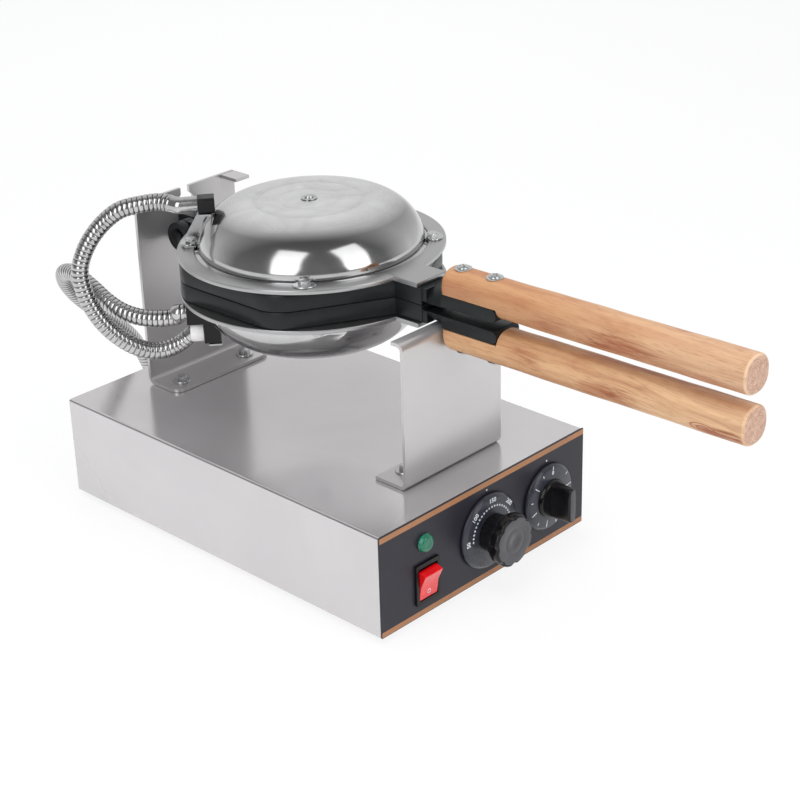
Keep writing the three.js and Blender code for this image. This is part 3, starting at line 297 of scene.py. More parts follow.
class Net(Words):
    """Words for a material's node tree."""

    def __init__(self, name):
        self.material = bpy.data.materials.new(name)
        self.material.use_nodes = True
        super().__init__(self.material.node_tree)
        self.shader = self.tree.nodes["Principled BSDF"]
        self.place = self.node("ShaderNodeTexCoord")["Object"]

    def spread(self, scale, turn=(0, 0, 0), shift=(0, 0, 0), source=None):
        inputs = {"Scale": scale, "Rotation": turn, "Location": shift, "Vector": source or self.place}
        return self.node("ShaderNodeMapping", inputs)["Vector"]

    def noise(self, vector, scale, detail, rough, twist=0):
        inputs = {"Scale": scale, "Detail": detail, "Roughness": rough, "Distortion": twist, "Vector": vector}
        return self.node("ShaderNodeTexNoise", inputs)["Fac"]

    def axes(self, source=None):
        return self.node("ShaderNodeSeparateXYZ", {0: source or self.place})

    def blend(self, share, a, b):
        return self.node("ShaderNodeMix", {0: share, 6: a, 7: b}, data_type="RGBA")[2]

    def tint(self, value, base, dark, light, low=0.3, high=0.7):
        """From a darker to a lighter shade of a base as a value rises."""
        return self.blend(self.span(value, low, high), shade(base, dark), shade(base, light))

    def mixed(self, a, share, b):
        return self.plus(self.times(a, share), self.times(b, 1 - share))

    def between(self, value, ends):
        """One where a value lies between two ends in millimetres, otherwise nought."""
        return self.times(self.sum("GREATER_THAN", value, ends[0] * MM), self.sum("LESS_THAN", value, ends[1] * MM))

    def set(self, **values):
        for key, value in values.items():
            self.feed(self.shader.inputs[key.replace("_", " ")], value)

    def reach_of(self, place):
        """Distance from a place, in metres, measured about three times shorter along the grain."""
        flat = tuple(c * MM * k for c, k in zip(place, (1, GRAIN_SHARE, 1)))
        here = self.spread((1, GRAIN_SHARE, 1))
        return self.node("ShaderNodeVectorMath", {0: here, 1: flat}, operation="DISTANCE")["Value"]

    def spot(self, place, reach, ragged, strength):
        """A soft stain with a ragged edge round a place."""
        away = self.sum("SUBTRACT", self.reach_of(place), self.times(ragged, reach * 2 * MM))
        return self.span(away, reach * MM * 0.2, -reach * MM * 0.8, 0, strength)

    def relief(self, height, distance, strength=1.0):
        bump = self.node("ShaderNodeBump", {"Distance": distance, "Strength": strength, "Height": height})
        self.feed(self.shader.inputs["Normal"], bump["Normal"])


# ---------------------------------------------------------------- materials

def satin_steel(name, base, grain, rough, metal=0.72, seam=None):
    """Sheet brushed along the axis with the small number in grain, with soft smears and a fold's dark line."""
    net = Net(name)
    tone = net.mixed(net.noise(net.spread(grain), 1, 4, 0.65), 0.05, net.noise(net.place, 9, 3, 0.55, 0.6))
    sheet = net.tint(tone, base, 0.965, 1.035)
    if seam:
        sheet = net.blend(net.times(net.between(net.axes()[2], seam), 0.75), sheet, shade(base, 0.25))
    net.set(Base_Color=sheet, Metallic=metal, Roughness=net.span(tone, 0.3, 0.7, *rough))
    return net.material


def pressed_dome(name, base, half):
    """Spun steel: rings of fine turning lines on a satin top, shinier sides and faint smears. The top is painted
    lighter, a painted sheen, and the sides are painted darker as they rise towards the top, a painted reflection of
    dark surroundings.
    """
    net = Net(name)
    x, y, z = net.axes(net.spread((1, 1, 1), (TILT, 0, 0), (0, 0, -PARTING_Z * MM)))
    radius = net.sum("SQRT", net.plus(net.times(x, x), net.times(y, y)))
    lines = net.noise(net.node("ShaderNodeCombineXYZ", {0: radius})[0], 900, 4, 0.7)
    smear = net.noise(net.place, 22, 4, 0.6, 1.2)
    cloud = net.noise(net.place, 7, 2, 0.5)
    height = net.times(z, 1 if half == "upper" else -1)
    low, bend, high = ((DOME_TOPS[half] - drop) * MM for drop in (30, 12, 2))
    top = net.span(height, bend, high)
    tone = net.mixed(lines, 0.4, smear)
    # Painted reflection: the sides are darker than the top and fall to half the base colour as they near it; the top
    # is painted lighter, a painted sheen.
    flank_painted_dark = net.blend(net.span(height, low, bend), net.tint(smear, base, 0.84, 0.96), shade(base, 0.5))
    net.set(Base_Color=net.blend(top, flank_painted_dark, net.tint(tone, base, 1.1, 1.5, 0.36, 0.64)), Metallic=1.0)
    soft = net.times(net.span(tone, 0.3, 0.7, 0.24, 0.42), top)
    bright = net.times(net.span(cloud, 0.35, 0.65, 0.07, 0.15), net.sum("SUBTRACT", 1, top))
    net.set(Roughness=net.plus(soft, bright))
    net.relief(net.times(lines, net.plus(net.times(top, 0.8), 0.2)), 6e-6)
    return net.material


def plated(name, base, rough=(0.2, 0.4), shaded_grooves=False):
    """Zinc or nickel plate with fine pits and faint stains, and painted shade in the grooves of a conduit."""
    net = Net(name)
    grain = net.noise(net.place, 420, 4, 0.6)
    stain = net.noise(net.place, 60, 3, 0.6, 0.8)
    tone = net.tint(stain, base, 0.82, 1.12)
    if shaded_grooves:
        # Painted shade: the colour falls to about a sixth of the base where a conduit's rib height drops into a
        # groove.
        hump = net.node("ShaderNodeAttribute", attribute_name="hump")["Fac"]
        tone = net.blend(net.span(hump, 0.5, 0.86), shade(base, 0.16), tone)
    net.set(Base_Color=tone, Metallic=1.0, Roughness=net.span(net.plus(grain, stain), 0.7, 1.3, *rough))
    net.relief(grain, 4e-6, 0.5)
    return net.material


def coated_casting(name, base):
    """Blue-black coat over a cast surface: fine orange peel, worn patches that show paler metal."""
    net = Net(name)
    peel = net.noise(net.place, 650, 3, 0.6)
    cloud = net.noise(net.place, 28, 4, 0.6, 0.7)
    worn = net.span(net.noise(net.place, 90, 6, 0.75), 0.66, 0.78)
    net.set(Base_Color=net.blend(worn, net.tint(cloud, base, 0.75, 1.5), shade(base, 3.2)), Metallic=0.35)
    net.set(Roughness=net.plus(net.span(cloud, 0.3, 0.7, 0.26, 0.40), net.span(peel, 0.3, 0.7, 0, 0.10)))
    net.relief(peel, 4e-5, 0.6)
    return net.material


def turned_wood(name, light, dark):
    """Oiled wood with its grain along the handle: reddish streaks and stains, pores, one knot, end grain, a painted
    highlight round the far end's rim and painted light on the lower handle.
    """
    net = Net(name)
    wander = net.noise(net.spread((9, 3, 9)), 1, 3, 0.5)
    lift = net.node("ShaderNodeCombineXYZ", {0: net.times(wander, 0.02), 2: net.times(wander, 0.026)})[0]
    path = net.node("ShaderNodeVectorMath", {0: net.place, 1: lift}, operation="ADD")[0]

    def grain(across, along, detail, rough, twist=0):
        return net.noise(net.spread((across, along, across), source=path), 1, detail, rough, twist)

    rings = grain(150, 4.5, 4, 0.55, 0.5)
    streak = grain(60, 5, 4, 0.6, 0.8)
    pores = grain(1300, 70, 2, 0.6)
    flame = grain(330, 26, 4, 0.65, 0.8)
    blotch = net.noise(net.spread((34, 13, 34), shift=(0.2, 0.5, 0.1)), 1, 5, 0.65, 0.6)
    cut = net.noise(net.place, 240, 5, 0.7)
    _, y, z = net.axes()
    end = net.axes(net.node("ShaderNodeTexCoord")["Normal"])[1]
    knot = net.reach_of(WOOD_KNOT)
    ripples = net.sum("SINE", net.plus(net.times(knot, 3300), net.times(blotch, 5)))
    core = net.sum("MINIMUM", *(net.reach_of(place) for place in END_MIDDLES))
    years = net.sum("SINE", net.plus(net.times(core, 2900), net.times(cut, 9)))
    near, far = (tuple(c * k for c, k in zip(light, tones)) for tones in (NEAR_TONE, FAR_TONE))
    patch = net.span(flame, 0.38, 0.56, 0.35, 1)
    rim = net.times(net.span(end, -0.12, -0.35), net.span(y, -0.433, -0.436))
    end_low, end_high, end_ring = END_GRAIN
    sawn = net.blend(net.span(cut, 0.35, 0.65), end_low, end_high)
    sawn = net.blend(net.span(years, 0.1, 1, 0, 0.35), sawn, end_ring)
    tone = near
    for share, over in (
        (net.span(y, -0.24, -0.43), far),
        # Painted light: the lower handle is made lighter, up to four tenths of the way to this colour.
        (net.span(z, 0.236, 0.226, 0, 0.4), LOWER_HANDLE_LIGHT),
        (net.plus(net.span(rings, 0.36, 0.66, 0, 0.42), net.span(streak, 0.46, 0.66, 0, 0.6)), dark),
        (net.span(blotch, 0.52, 0.72, 0, 0.65), tuple(c * k for c, k in zip(dark, (0.95, 0.72, 0.62)))),
        *((net.times(net.spot(place, reach, flame, strength), patch), STAIN)
          for place, reach, strength in WOOD_STAINS),
        (net.times(net.span(knot, 0.0052, 0.0036), net.span(ripples, -0.2, 0.8, 0.1, 0.9)), KNOT_LINE),
        (net.span(flame, 0.54, 0.7, 0, 0.35), shade(dark, 0.8)),
        (net.span(pores, 0.57, 0.7, 0, 0.4), shade(dark, 0.66)),
        # Painted highlight on the rounded rim of the far end.
        (net.times(rim, net.span(blotch, 0.35, 0.6, 0.1, 0.7)), FAR_RIM_HIGHLIGHT),
        (net.span(end, -0.86, -0.96), sawn),
    ):
        tone = net.blend(share, tone, over)
    net.set(Base_Color=tone, Roughness=net.span(net.plus(rings, pores), 0.7, 1.3, 0.42, 0.62))
    net.set(Coat_Weight=0.08, Coat_Roughness=0.35)
    net.relief(net.plus(net.times(pores, -0.6), net.times(rings, 0.4)), 1.2e-4, 0.55)
    return net.material


def moulded(name, base, rough, coat=0.0, peel=1.2e-5):
    """Moulded plastic or rubber with a fine skin, faint dust and slight changes of tone."""
    net = Net(name)
    skin = net.noise(net.place, 1100, 2, 0.6)
    cloud = net.noise(net.place, 55, 4, 0.6, 0.4)
    dust = net.span(net.noise(net.place, 310, 5, 0.8), 0.68, 0.8, 0, 0.25)
    net.set(Base_Color=net.blend(dust, net.tint(cloud, base, 0.8, 1.25), shade(base, 2.0)))
    net.set(Roughness=net.plus(net.span(cloud, 0.3, 0.7, *rough), net.span(skin, 0.3, 0.7, 0, 0.05)))
    net.set(Coat_Weight=coat, Coat_Roughness=0.08, Specular_IOR_Level=0.35)
    net.relief(skin, peel, 0.7)
    return net.material


def striped_panel(name, base, stripe):
    """Charcoal panel with a copper stripe along its top and bottom edges."""
    net = Net(name)
    _, y, z = net.axes()
    stripes = net.plus(*(net.between(z, ends) for ends in STRIPES))
    band = net.times(stripes, net.sum("LESS_THAN", y, (PANEL_Y + 0.1) * MM))
    skin = net.noise(net.place, 1300, 3, 0.6)
    cloud = net.noise(net.place, 16, 4, 0.55, 0.3)
    net.set(Base_Color=net.blend(band, net.tint(cloud, base, 0.88, 1.16), net.tint(cloud, stripe, 0.86, 1.15)))
    net.set(Roughness=net.plus(net.span(cloud, 0.3, 0.7, 0.3, 0.4), net.span(skin, 0.3, 0.7, 0, 0.06)))
    net.set(Specular_IOR_Level=0.3)
    net.relief(skin, 1e-5, 0.5)
    return net.material


FINISHES = {}


def make_finishes():
    c = bpy.context.scene.waffle_colours
    rgb = {key: tuple(getattr(c, key)) for key in c.__annotations__}
    # Painted light and shade: the shell's steel is the brackets' steel made 1.08 times lighter, and the rings' steel
    # is the domes' steel made 0.8 times as light, a painted shade.
    shell, ring = shade(rgb["steel"], 1.08), shade(rgb["dome"], 0.8)
    FINISHES.update({
        "shell": satin_steel("brushed_shell", shell, (1600, 7, 1600), (0.15, 0.21), seam=FOLD_LINE),
        "bracket": satin_steel("brushed_bracket", rgb["steel"], (700, 700, 5), (0.285, 0.34)),
        "ring": satin_steel("satin_ring", ring, (160, 160, 160), (0.3, 0.44), 1.0),
        "dome_upper": pressed_dome("spun_dome_upper", rgb["dome"], "upper"),
        # Painted light: the lower dome's steel is the upper dome's steel made 1.1 times lighter.
        "dome_lower": pressed_dome("spun_dome_lower", shade(rgb["dome"], 1.1), "lower"),
        "zinc": plated("zinc_plate", rgb["zinc"]),
        "blackened": plated("blackened_steel", (0.035, 0.035, 0.038)),
        "conduit": plated("conduit_strip", rgb["conduit"], (0.14, 0.26), True),
        "casting": coated_casting("coated_casting", rgb["casting"]),
        "wood": turned_wood("oiled_wood", rgb["wood_light"], rgb["wood_dark"]),
        "panel": striped_panel("charcoal_panel", rgb["panel"], rgb["stripe"]),
        "plastic": moulded("black_plastic", rgb["plastic"], (0.26, 0.44)),
        "gloss": moulded("gloss_black_plastic", rgb["plastic"], (0.14, 0.24)),
        # Painted sheen: a lighter grey plastic for the knobs' front faces.
        "painted_sheen": moulded("knob_face_plastic", (0.062, 0.062, 0.070), (0.26, 0.38), 0.2),
        "dial": moulded("dial_plastic", rgb["dial"], (0.22, 0.32), 0.25),
        "ink": moulded("dial_ink", rgb["ink"], (0.4, 0.5)),
        "red": moulded("rocker_plastic", rgb["red"], (0.1, 0.18), 0.6, 4e-6),
        "green": moulded("lamp_plastic", rgb["green"], (0.12, 0.24), 0.5, 8e-6),
        "rubber": moulded("foot_rubber", rgb["rubber"], (0.6, 0.8)),
        "white": moulded("white_plastic", (0.72, 0.71, 0.70), (0.4, 0.55)),
    })


# ---------------------------------------------------------------- places and shapes

def turned(angle, axis):
    return Matrix.Rotation(angle, 4, axis)


def iron_place(half):
    """From the axes of one half, outside up, to the machine's axes, in millimetres."""
    lie = Matrix.Translation((0, REST_Y, PARTING_Z)) @ turned(-TILT, "X") @ Matrix.Translation((0, -REST_Y, 0))
    return lie if half == "upper" else lie @ turned(math.pi, "Y")


def front_place(x, y, z):
    """From a shape turned round Z to one whose Z points out of the front panel."""
    return Matrix.Translation((x, y, z)) @ turned(QUARTER, "X")


def rear_place(x, y, z):
    return Matrix.Translation((x, y, z)) @ turned(-QUARTER, "X")


def moved(shape, matrix):
    return [tuple(matrix @ Vector(p)) for p in shape[0]], shape[1]


def angles(count):
    return [FULL_TURN * k / count for k in range(count)]


def polar(radius, angle, *rest):
    return (radius * math.cos(angle), radius * math.sin(angle), *rest)


def hexagon_reach(apothem, angle):
    """From the middle of a hexagon with a corner at angle nought to its edge."""
    off = (angle + TWELFTH) % SIXTH - TWELFTH
    return apothem / math.cos(TWELFTH - abs(off))


def squared(half, power, share):
    """A rounded square's coordinate from the cosine or sine of an angle."""
    return half * math.copysign(abs(share) ** power, share)


def lathe(profile, sides=48, loop=False):
    """A profile of (radius, height) points turned round Z. A point on the axis closes it."""
    points, rows, faces = [], [], []
    for radius, height in profile:
        ring = [(0, 0, height)] if radius < POLE else [polar(radius, a, height) for a in angles(sides)]
        rows.append(range(len(points), len(points) + len(ring)))
        points += ring
    for a, b in list(zip(rows, rows[1:])) + ([(rows[-1], rows[0])] if loop else []):
        for k in range(sides):
            n = (k + 1) % sides
            quad = [a[k % len(a)], a[n % len(a)], b[n % len(b)], b[k % len(b)]]
            face = [p for i, p in enumerate(quad) if p not in quad[:i]]
            if len(face) > 2:
                faces.append(face)
    return points, faces


def loft(rings, loop=False, caps=True):
    """Rings of equally many points joined in turn, with a flat face at both ends or back into a loop."""
    count, last = len(rings[0]), len(rings)
    faces = []
    for i in range(last if loop else last - 1):
        a, b = i * count, (i + 1) % last * count
        faces += [[a + k, a + (k + 1) % count, b + (k + 1) % count, b + k] for k in range(count)]
    if caps and not loop:
        faces += [list(range(count))[::-1], list(range((last - 1) * count, last * count))]
    return [p for ring in rings for p in ring], faces


def prism(outline, low, high):
    """An outline in Y and Z pushed along X from low to high."""
    return loft([[(x, a, b) for a, b in outline] for x in (low, high)])


def smooth_line(points, steps):
    """A smooth line through points, by Catmull and Rom's rule."""
    ends = [points[0], *points, points[-1]]
    out = []
    for p0, p1, p2, p3 in zip(ends, ends[1:], ends[2:], ends[3:]):
        for t in (k / steps for k in range(steps)):
            out.append(tuple(
                0.5 * (2 * b + (c - a) * t + (2 * a - 5 * b + 4 * c - d) * t * t + (3 * b - a - 3 * c + d) * t ** 3)
                for a, b, c, d in zip(p0, p1, p2, p3)))
    return out + [tuple(points[-1])]


# ---------------------------------------------------------------- meshes

def linked(name, data):
    piece = bpy.data.objects.new(name, data)
    bpy.context.scene.collection.objects.link(piece)
    return piece


def plain_mesh(name, points, edges=(), faces=()):
    mesh = bpy.data.meshes.new(name)
    mesh.from_pydata(points, edges, faces)
    return mesh


def work_on(mesh):
    work = bmesh.new()
    work.from_mesh(mesh)
    return work


def put_back(work, mesh):
    work.to_mesh(mesh)
    work.free()


def finished(name, work, finish):
    """A mesh object with one finish from a bmesh, which goes."""
    mesh = bpy.data.meshes.new(name)
    put_back(work, mesh)
    mesh.materials.append(FINISHES[finish])
    return linked(name, mesh)


def is_sharp(edge, angle):
    return len(edge.link_faces) == 2 and edge.calc_face_angle(0) > math.radians(angle)


def soften_corners(work, width, angle, slide=False):
    sharp = [e for e in work.edges if is_sharp(e, angle)]
    bmesh.ops.bevel(work, geom=sharp, offset=width, segments=2, affect="EDGES", profile=0.6, clamp_overlap=True,
                    loop_slide=slide)


def smooth_mesh(work, soften):
    for face in work.faces:
        face.smooth = True
    for edge in work.edges:
        edge.smooth = not is_sharp(edge, soften)


def build(name, shapes, finish, soften=30, bevel=0.0, place=None):
    """One mesh object from shapes in millimetres, welded, turned outwards, bevelled and smoothed by angle."""
    work = bmesh.new()
    for points, faces in shapes:
        made = [work.verts.new(p) for p in points]
        for face in faces:
            try:
                work.faces.new([made[i] for i in face])
            except ValueError:
                continue
    bmesh.ops.remove_doubles(work, verts=work.verts, dist=WELD)
    bmesh.ops.recalc_face_normals(work, faces=work.faces)
    if bevel:
        soften_corners(work, bevel, 28, True)
    work.transform(Matrix.Scale(MM, 4) @ (place or Matrix.Identity(4)))
    smooth_mesh(work, soften)
    return finished(name, work, finish)


def hand_over(piece, body, nodes):
    """The piece rides on a body and stands for CAD nodes, which are hidden."""
    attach(piece, body)
    if nodes:
        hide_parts(*nodes)
    return piece


def add_piece(name, shapes, finish, place, body, nodes, soften=40):
    """Builds a piece and hands it over."""
    return hand_over(build(name, shapes, finish, soften, place=place), body, nodes)


def applied(holder, name):
    """The holder's evaluated result as a plain mesh object. The holder goes."""
    bpy.context.view_layer.update()
    result = holder.evaluated_get(bpy.context.evaluated_depsgraph_get())
    mesh = bpy.data.meshes.new_from_object(result)
    mesh.name = name
    bpy.data.objects.remove(holder)
    return linked(name, mesh)


def dressed(node, finish, body, bevel, soften=38):
    """A copy of a CAD node with merged points, no needless edges and rounded corners."""
    work = work_on(NODES[node].data)
    bmesh.ops.remove_doubles(work, verts=work.verts, dist=WELD * MM)
    bmesh.ops.dissolve_limit(work, angle_limit=math.radians(0.6), verts=work.verts, edges=work.edges)
    soften_corners(work, bevel * MM, soften)
    smooth_mesh(work, soften)
    holder = finished(node + "_dressed", work, finish)
    holder.modifiers.new("even_normals", "WEIGHTED_NORMAL").keep_sharp = True
    return hand_over(applied(holder, node + "_dressed"), body, [node])


def finish_nodes(finish, *nodes):
    for node in nodes:
        NODES[node].data.materials.clear()
        NODES[node].data.materials.append(FINISHES[finish])


# ---------------------------------------------------------------- geometry nodes

SCATTER, HOSE = "scatter_small_pieces", "ribbed_conduit"


def new_tree(name, inputs, output):
    """A node tree with named inputs. Gives its words, its inputs and a word that paints and sends out its result."""
    tree = bpy.data.node_groups.new(name, "GeometryNodeTree")
    for label, kind in inputs:
        tree.interface.new_socket(label, in_out="INPUT", socket_type="NodeSocket" + kind)
    tree.interface.new_socket(output, in_out="OUTPUT", socket_type="NodeSocketGeometry")
    net = Words(tree)
    enter = net.node("NodeGroupInput")

    def send(shape):
        real = net.node("GeometryNodeRealizeInstances", {0: shape})[0]
        paint = net.node("GeometryNodeSetMaterial", {"Geometry": real, "Material": enter["Finish"]})
        net.node("NodeGroupOutput", {output: paint[0]})
        return tree

    return net, enter, send


def scatter_tree():
    """Places a copy of a small piece on every point, turned as the point's own attribute says."""
    net, enter, send = new_tree(SCATTER, (
        ("Points", "Geometry"), ("Small Piece", "Object"), ("Size", "Float"), ("Finish", "Material")), "Pieces")
    piece = net.node("GeometryNodeObjectInfo", {"Object": enter["Small Piece"]})
    turn = net.node("GeometryNodeInputNamedAttribute", {"Name": "turn"}, data_type="FLOAT_VECTOR")
    spin = net.node("FunctionNodeEulerToRotation", {"Euler": turn["Attribute"]})
    copies = {"Points": enter["Points"], "Instance": piece["Geometry"], "Rotation": spin["Rotation"],
              "Scale": enter["Size"]}
    return send(net.node("GeometryNodeInstanceOnPoints", copies)["Instances"])


def hose_tree():
    """A strip-wound conduit along a line: a ribbed tube with plain ends."""
    net, enter, send = new_tree(HOSE, (
        ("Line", "Geometry"), ("Rib Radius", "Float"), ("Valley Radius", "Float"), ("Rib Pitch", "Float"),
        ("Plain End", "Float"), ("Finish", "Material")), "Tube")
    rib, valley, pitch, end = (enter[key] for key in ("Rib Radius", "Valley Radius", "Rib Pitch", "Plain End"))
    line = net.node("GeometryNodeMeshToCurve", {0: enter["Line"]})[0]
    step = net.sum("DIVIDE", pitch, RIB_STEPS)
    even = net.node("GeometryNodeResampleCurve", {"Curve": line, "Length": step}, mode="LENGTH")[0]
    run = net.node("GeometryNodeSplineParameter")["Length"]
    whole = net.node("GeometryNodeSplineLength")["Length"]
    share = net.sum("FRACT", net.sum("DIVIDE", run, pitch))
    hump = net.sum("POWER", net.sum("SINE", net.times(share, math.pi)), 0.3)
    ribbed = net.sum("MULTIPLY_ADD", hump, net.sum("SUBTRACT", rib, valley), valley)
    left = net.sum("SUBTRACT", whole, run)
    plain = net.sum("MAXIMUM", net.sum("LESS_THAN", run, end), net.sum("LESS_THAN", left, end))
    radius = net.node("ShaderNodeMix", {0: plain, 2: ribbed, 3: net.times(net.plus(rib, valley), 0.5)})[0]
    thick = net.node("GeometryNodeSetCurveRadius", {"Curve": even, "Radius": radius})[0]
    # The rib height is kept as an attribute, from which the conduit's material paints shade into the grooves.
    kept = net.node("GeometryNodeStoreNamedAttribute", {
        "Name": "hump", "Geometry": thick, "Value": net.sum("MAXIMUM", hump, plain)})[0]
    ring = net.node("GeometryNodeCurvePrimitiveCircle", {"Resolution": HOSE_SIDES, "Radius": 1})[0]
    tube = net.node("GeometryNodeCurveToMesh", {"Curve": kept, "Profile Curve": ring, "Fill Caps": True})[0]
    if "Scale" in tube.node.inputs:
        net.feed(tube.node.inputs["Scale"], radius)
    return send(tube)


TREES = {SCATTER: scatter_tree, HOSE: hose_tree}


def through(tree_name, name, mesh, **values):
    """A mesh sent through a node tree with the given inputs, as a plain mesh object."""
    holder = linked(mesh.name, mesh)
    modifier = holder.modifiers.new("shape", "NODES")
    modifier.node_group = bpy.data.node_groups.get(tree_name) or TREES[tree_name]()
    for item in modifier.node_group.interface.items_tree:
        key = item.name.replace(" ", "_")
        if item.item_type == "SOCKET" and item.in_out == "INPUT" and key in values:
            modifier[item.identifier] = values[key]
    return applied(holder, name)


def scatter(name, small, spots, finish):
    """Copies of a small piece, in millimetres, at (matrix) spots in millimetres, as one plain mesh."""
    mesh = plain_mesh(name + "_points", [spot.translation * MM for spot in spots])
    turn = mesh.attributes.new("turn", "FLOAT_VECTOR", "POINT")
    turn.data.foreach_set("vector", [angle for spot in spots for angle in spot.to_euler()])
    piece = through(SCATTER, name, mesh, Small_Piece=small, Size=1.0, Finish=FINISHES[finish])
    bpy.data.objects.remove(small)
    work = work_on(piece.data)
    smooth_mesh(work, 32)
    put_back(work, piece.data)
    return piece


# ---------------------------------------------------------------- studio

def aim(obj, place, back, up):
    right = up.cross(back).normalized()
    obj.matrix_world = Matrix.Translation(place) @ Matrix((right, back.cross(right), back)).transposed().to_4x4()


class WAFFLE_OT_studio(bpy.types.Operator):
    """Make the camera, the pale floor, the soft lamps and the white surroundings"""
    bl_idname = "waffle.studio"
    bl_label = "Studio"

    def execute(self, context):
        bpy.context.scene.view_settings.view_transform = "Standard"
        self.camera()
        self.floor()
        self.lamps()
        self.sky()
        return {"FINISHED"}

    def camera(self):
        lens = bpy.data.cameras.new("studio_camera")
        lens.sensor_width, lens.lens, lens.clip_end = CAMERA_SENSOR, CAMERA_LENS, 20
        camera = linked("studio_camera", lens)
        flat = math.cos(CAMERA_ELEVATION)
        back = Vector((math.sin(CAMERA_AZIMUTH) * flat, -math.cos(CAMERA_AZIMUTH) * flat, math.sin(CAMERA_ELEVATION)))
        right = Vector((0, 0, 1)).cross(back).normalized()
        rolled = back.cross(right) * math.cos(CAMERA_ROLL) - right * math.sin(CAMERA_ROLL)
        aim(camera, Vector(CAMERA_PLACE) * MM, back, rolled)
        bpy.context.scene.camera = camera

    def floor(self):
        """A sheet that glows for the camera and for reflections and keeps a share of its shadow."""
        far = FLOOR_HALF
        corners = [(x, y, FLOOR_Z * MM) for x, y in ((-far, -far), (far, -far), (far, far), (-far, far))]
        sheet = linked("studio_floor", plain_mesh("studio_floor", corners, faces=[(0, 1, 2, 3)]))
        material = bpy.data.materials.new("studio_floor")
        material.use_nodes = True
        material.node_tree.nodes.clear()
        net = Words(material.node_tree)
        plain = net.node("ShaderNodeBsdfDiffuse", {"Color": (0.93, 0.93, 0.93)})
        seen, _ = net.seen()
        net.surface(net.times(seen, 0.82), plain, net.node("ShaderNodeEmission"), "ShaderNodeOutputMaterial")
        sheet.data.materials.append(material)

    def lamps(self):
        for name, place, wide, tall, power, mirrored in LAMPS:
            light = bpy.data.lights.new(name, "AREA")
            light.shape = "RECTANGLE"
            light.size, light.size_y, light.energy = wide, tall, power
            lamp = linked(name, light)
            lamp.visible_glossy = mirrored
            back = (Vector(place) - Vector((0, 0, 0.15))).normalized()
            aim(lamp, Vector(place), back, Vector((0, 1, 0)) if abs(back.z) > 0.9 else Vector((0, 0, 1)))

    def sky(self):
        """White where it is seen, dimmer in reflections from behind the camera, and a soft fill for the rest."""
        world = bpy.data.worlds.new("studio_surroundings")
        bpy.context.scene.world = world
        world.use_nodes = True
        world.node_tree.nodes.clear()
        net = Words(world.node_tree)
        heading = net.node("ShaderNodeTexCoord")["Generated"]
        towards = net.node("ShaderNodeVectorMath", {0: heading, 1: BEHIND_CAMERA}, operation="DOT_PRODUCT")["Value"]
        seen, rays = net.seen()
        dim = net.span(towards, -0.42, 0.14, 0.8, 0.2)
        strength = net.node("ShaderNodeMix", {0: rays["Is Glossy Ray"], 2: 1, 3: dim})[0]
        fill = net.node("ShaderNodeBackground", {"Color": (0.95, 0.97, 1.0), "Strength": 0.55})
        white = net.node("ShaderNodeBackground", {"Color": (1, 1, 1), "Strength": strength})
        share = net.sum("MAXIMUM", seen, rays["Is Transmission Ray"])
        net.surface(share, fill, white, "ShaderNodeOutputWorld")


# ---------------------------------------------------------------- conduits

def curved(a, b, c, d, steps):
    """Points of a centripetal curve from b to c, with a and d before and after them."""
    t0, t1 = 0.0, math.sqrt((b - a).length)
    t2 = t1 + math.sqrt((c - b).length)
    t3 = t2 + math.sqrt((d - c).length)
    for k in range(steps):
        t = t1 + (t2 - t1) * k / steps
        p, q, r = a.lerp(b, (t - t0) / (t1 - t0)), b.lerp(c, (t - t1) / (t2 - t1)), c.lerp(d, (t - t2) / (t3 - t2))
        yield p.lerp(q, (t - t0) / (t2 - t0)).lerp(q.lerp(r, (t - t1) / (t3 - t1)), (t - t1) / (t2 - t1))


def even_route(route, start_run, end_run, pitch=1.0):
    """The conduit's middle line: straight ends, and a centripetal curve through the route, in even steps."""
    start, end = Vector(route[0]), Vector(route[-1])
    first = start + Vector(start_run).normalized() * HOSE_STRAIGHT
    final = end + Vector(end_run).normalized() * HOSE_STRAIGHT
    points = [first, *map(Vector, route[1:-1]), final]
    ends = [points[0] * 2 - points[1], *points, points[-1] * 2 - points[-2]]
    line = [start]
    for four in zip(ends, ends[1:], ends[2:], ends[3:]):
        line += curved(*four, 24)
    line += [final, end]
    even, left = [start], pitch
    for a, b in zip(line, line[1:]):
        while (b - a).length >= left > 0:
            a = a + (b - a).normalized() * left
            even.append(a)
            left = pitch
        left -= (b - a).length
    return [*even[:-1], end]


def make_conduit(name, node, line, plain_end):
    s = sizes()
    mesh = plain_mesh(name + "_line", [p * MM for p in line], [(i, i + 1) for i in range(len(line) - 1)])
    tube = through(HOSE, name, mesh, Rib_Radius=s.hose_rib, Valley_Radius=s.hose_valley, Rib_Pitch=s.hose_pitch,
                   Plain_End=plain_end * MM, Finish=FINISHES["conduit"])
    for face in tube.data.polygons:
        face.use_smooth = True
    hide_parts(node)
    return tube


def clamp_seats():
    """The conduits' ends at the clamps, and the ways they point, in the machine's axes."""
    upper, lower = iron_place("upper"), iron_place("lower")
    along = Vector((-math.cos(CLAMP_TURN), -math.sin(CLAMP_TURN), 0))
    top = upper @ (Vector((*UPPER_CLAMP, UPPER_CLAMP_Z)) + along * BLOCK_HALF)
    out = Vector(polar(1, RING_BOLT_TURN, 0))
    jumper, feed = (lower @ (out * radius + Vector((0, 0, height))) for radius, height in (JUMPER_SEAT, FEED_SEAT))
    return top, jumper, feed, upper.to_3x3() @ along, lower.to_3x3() @ out


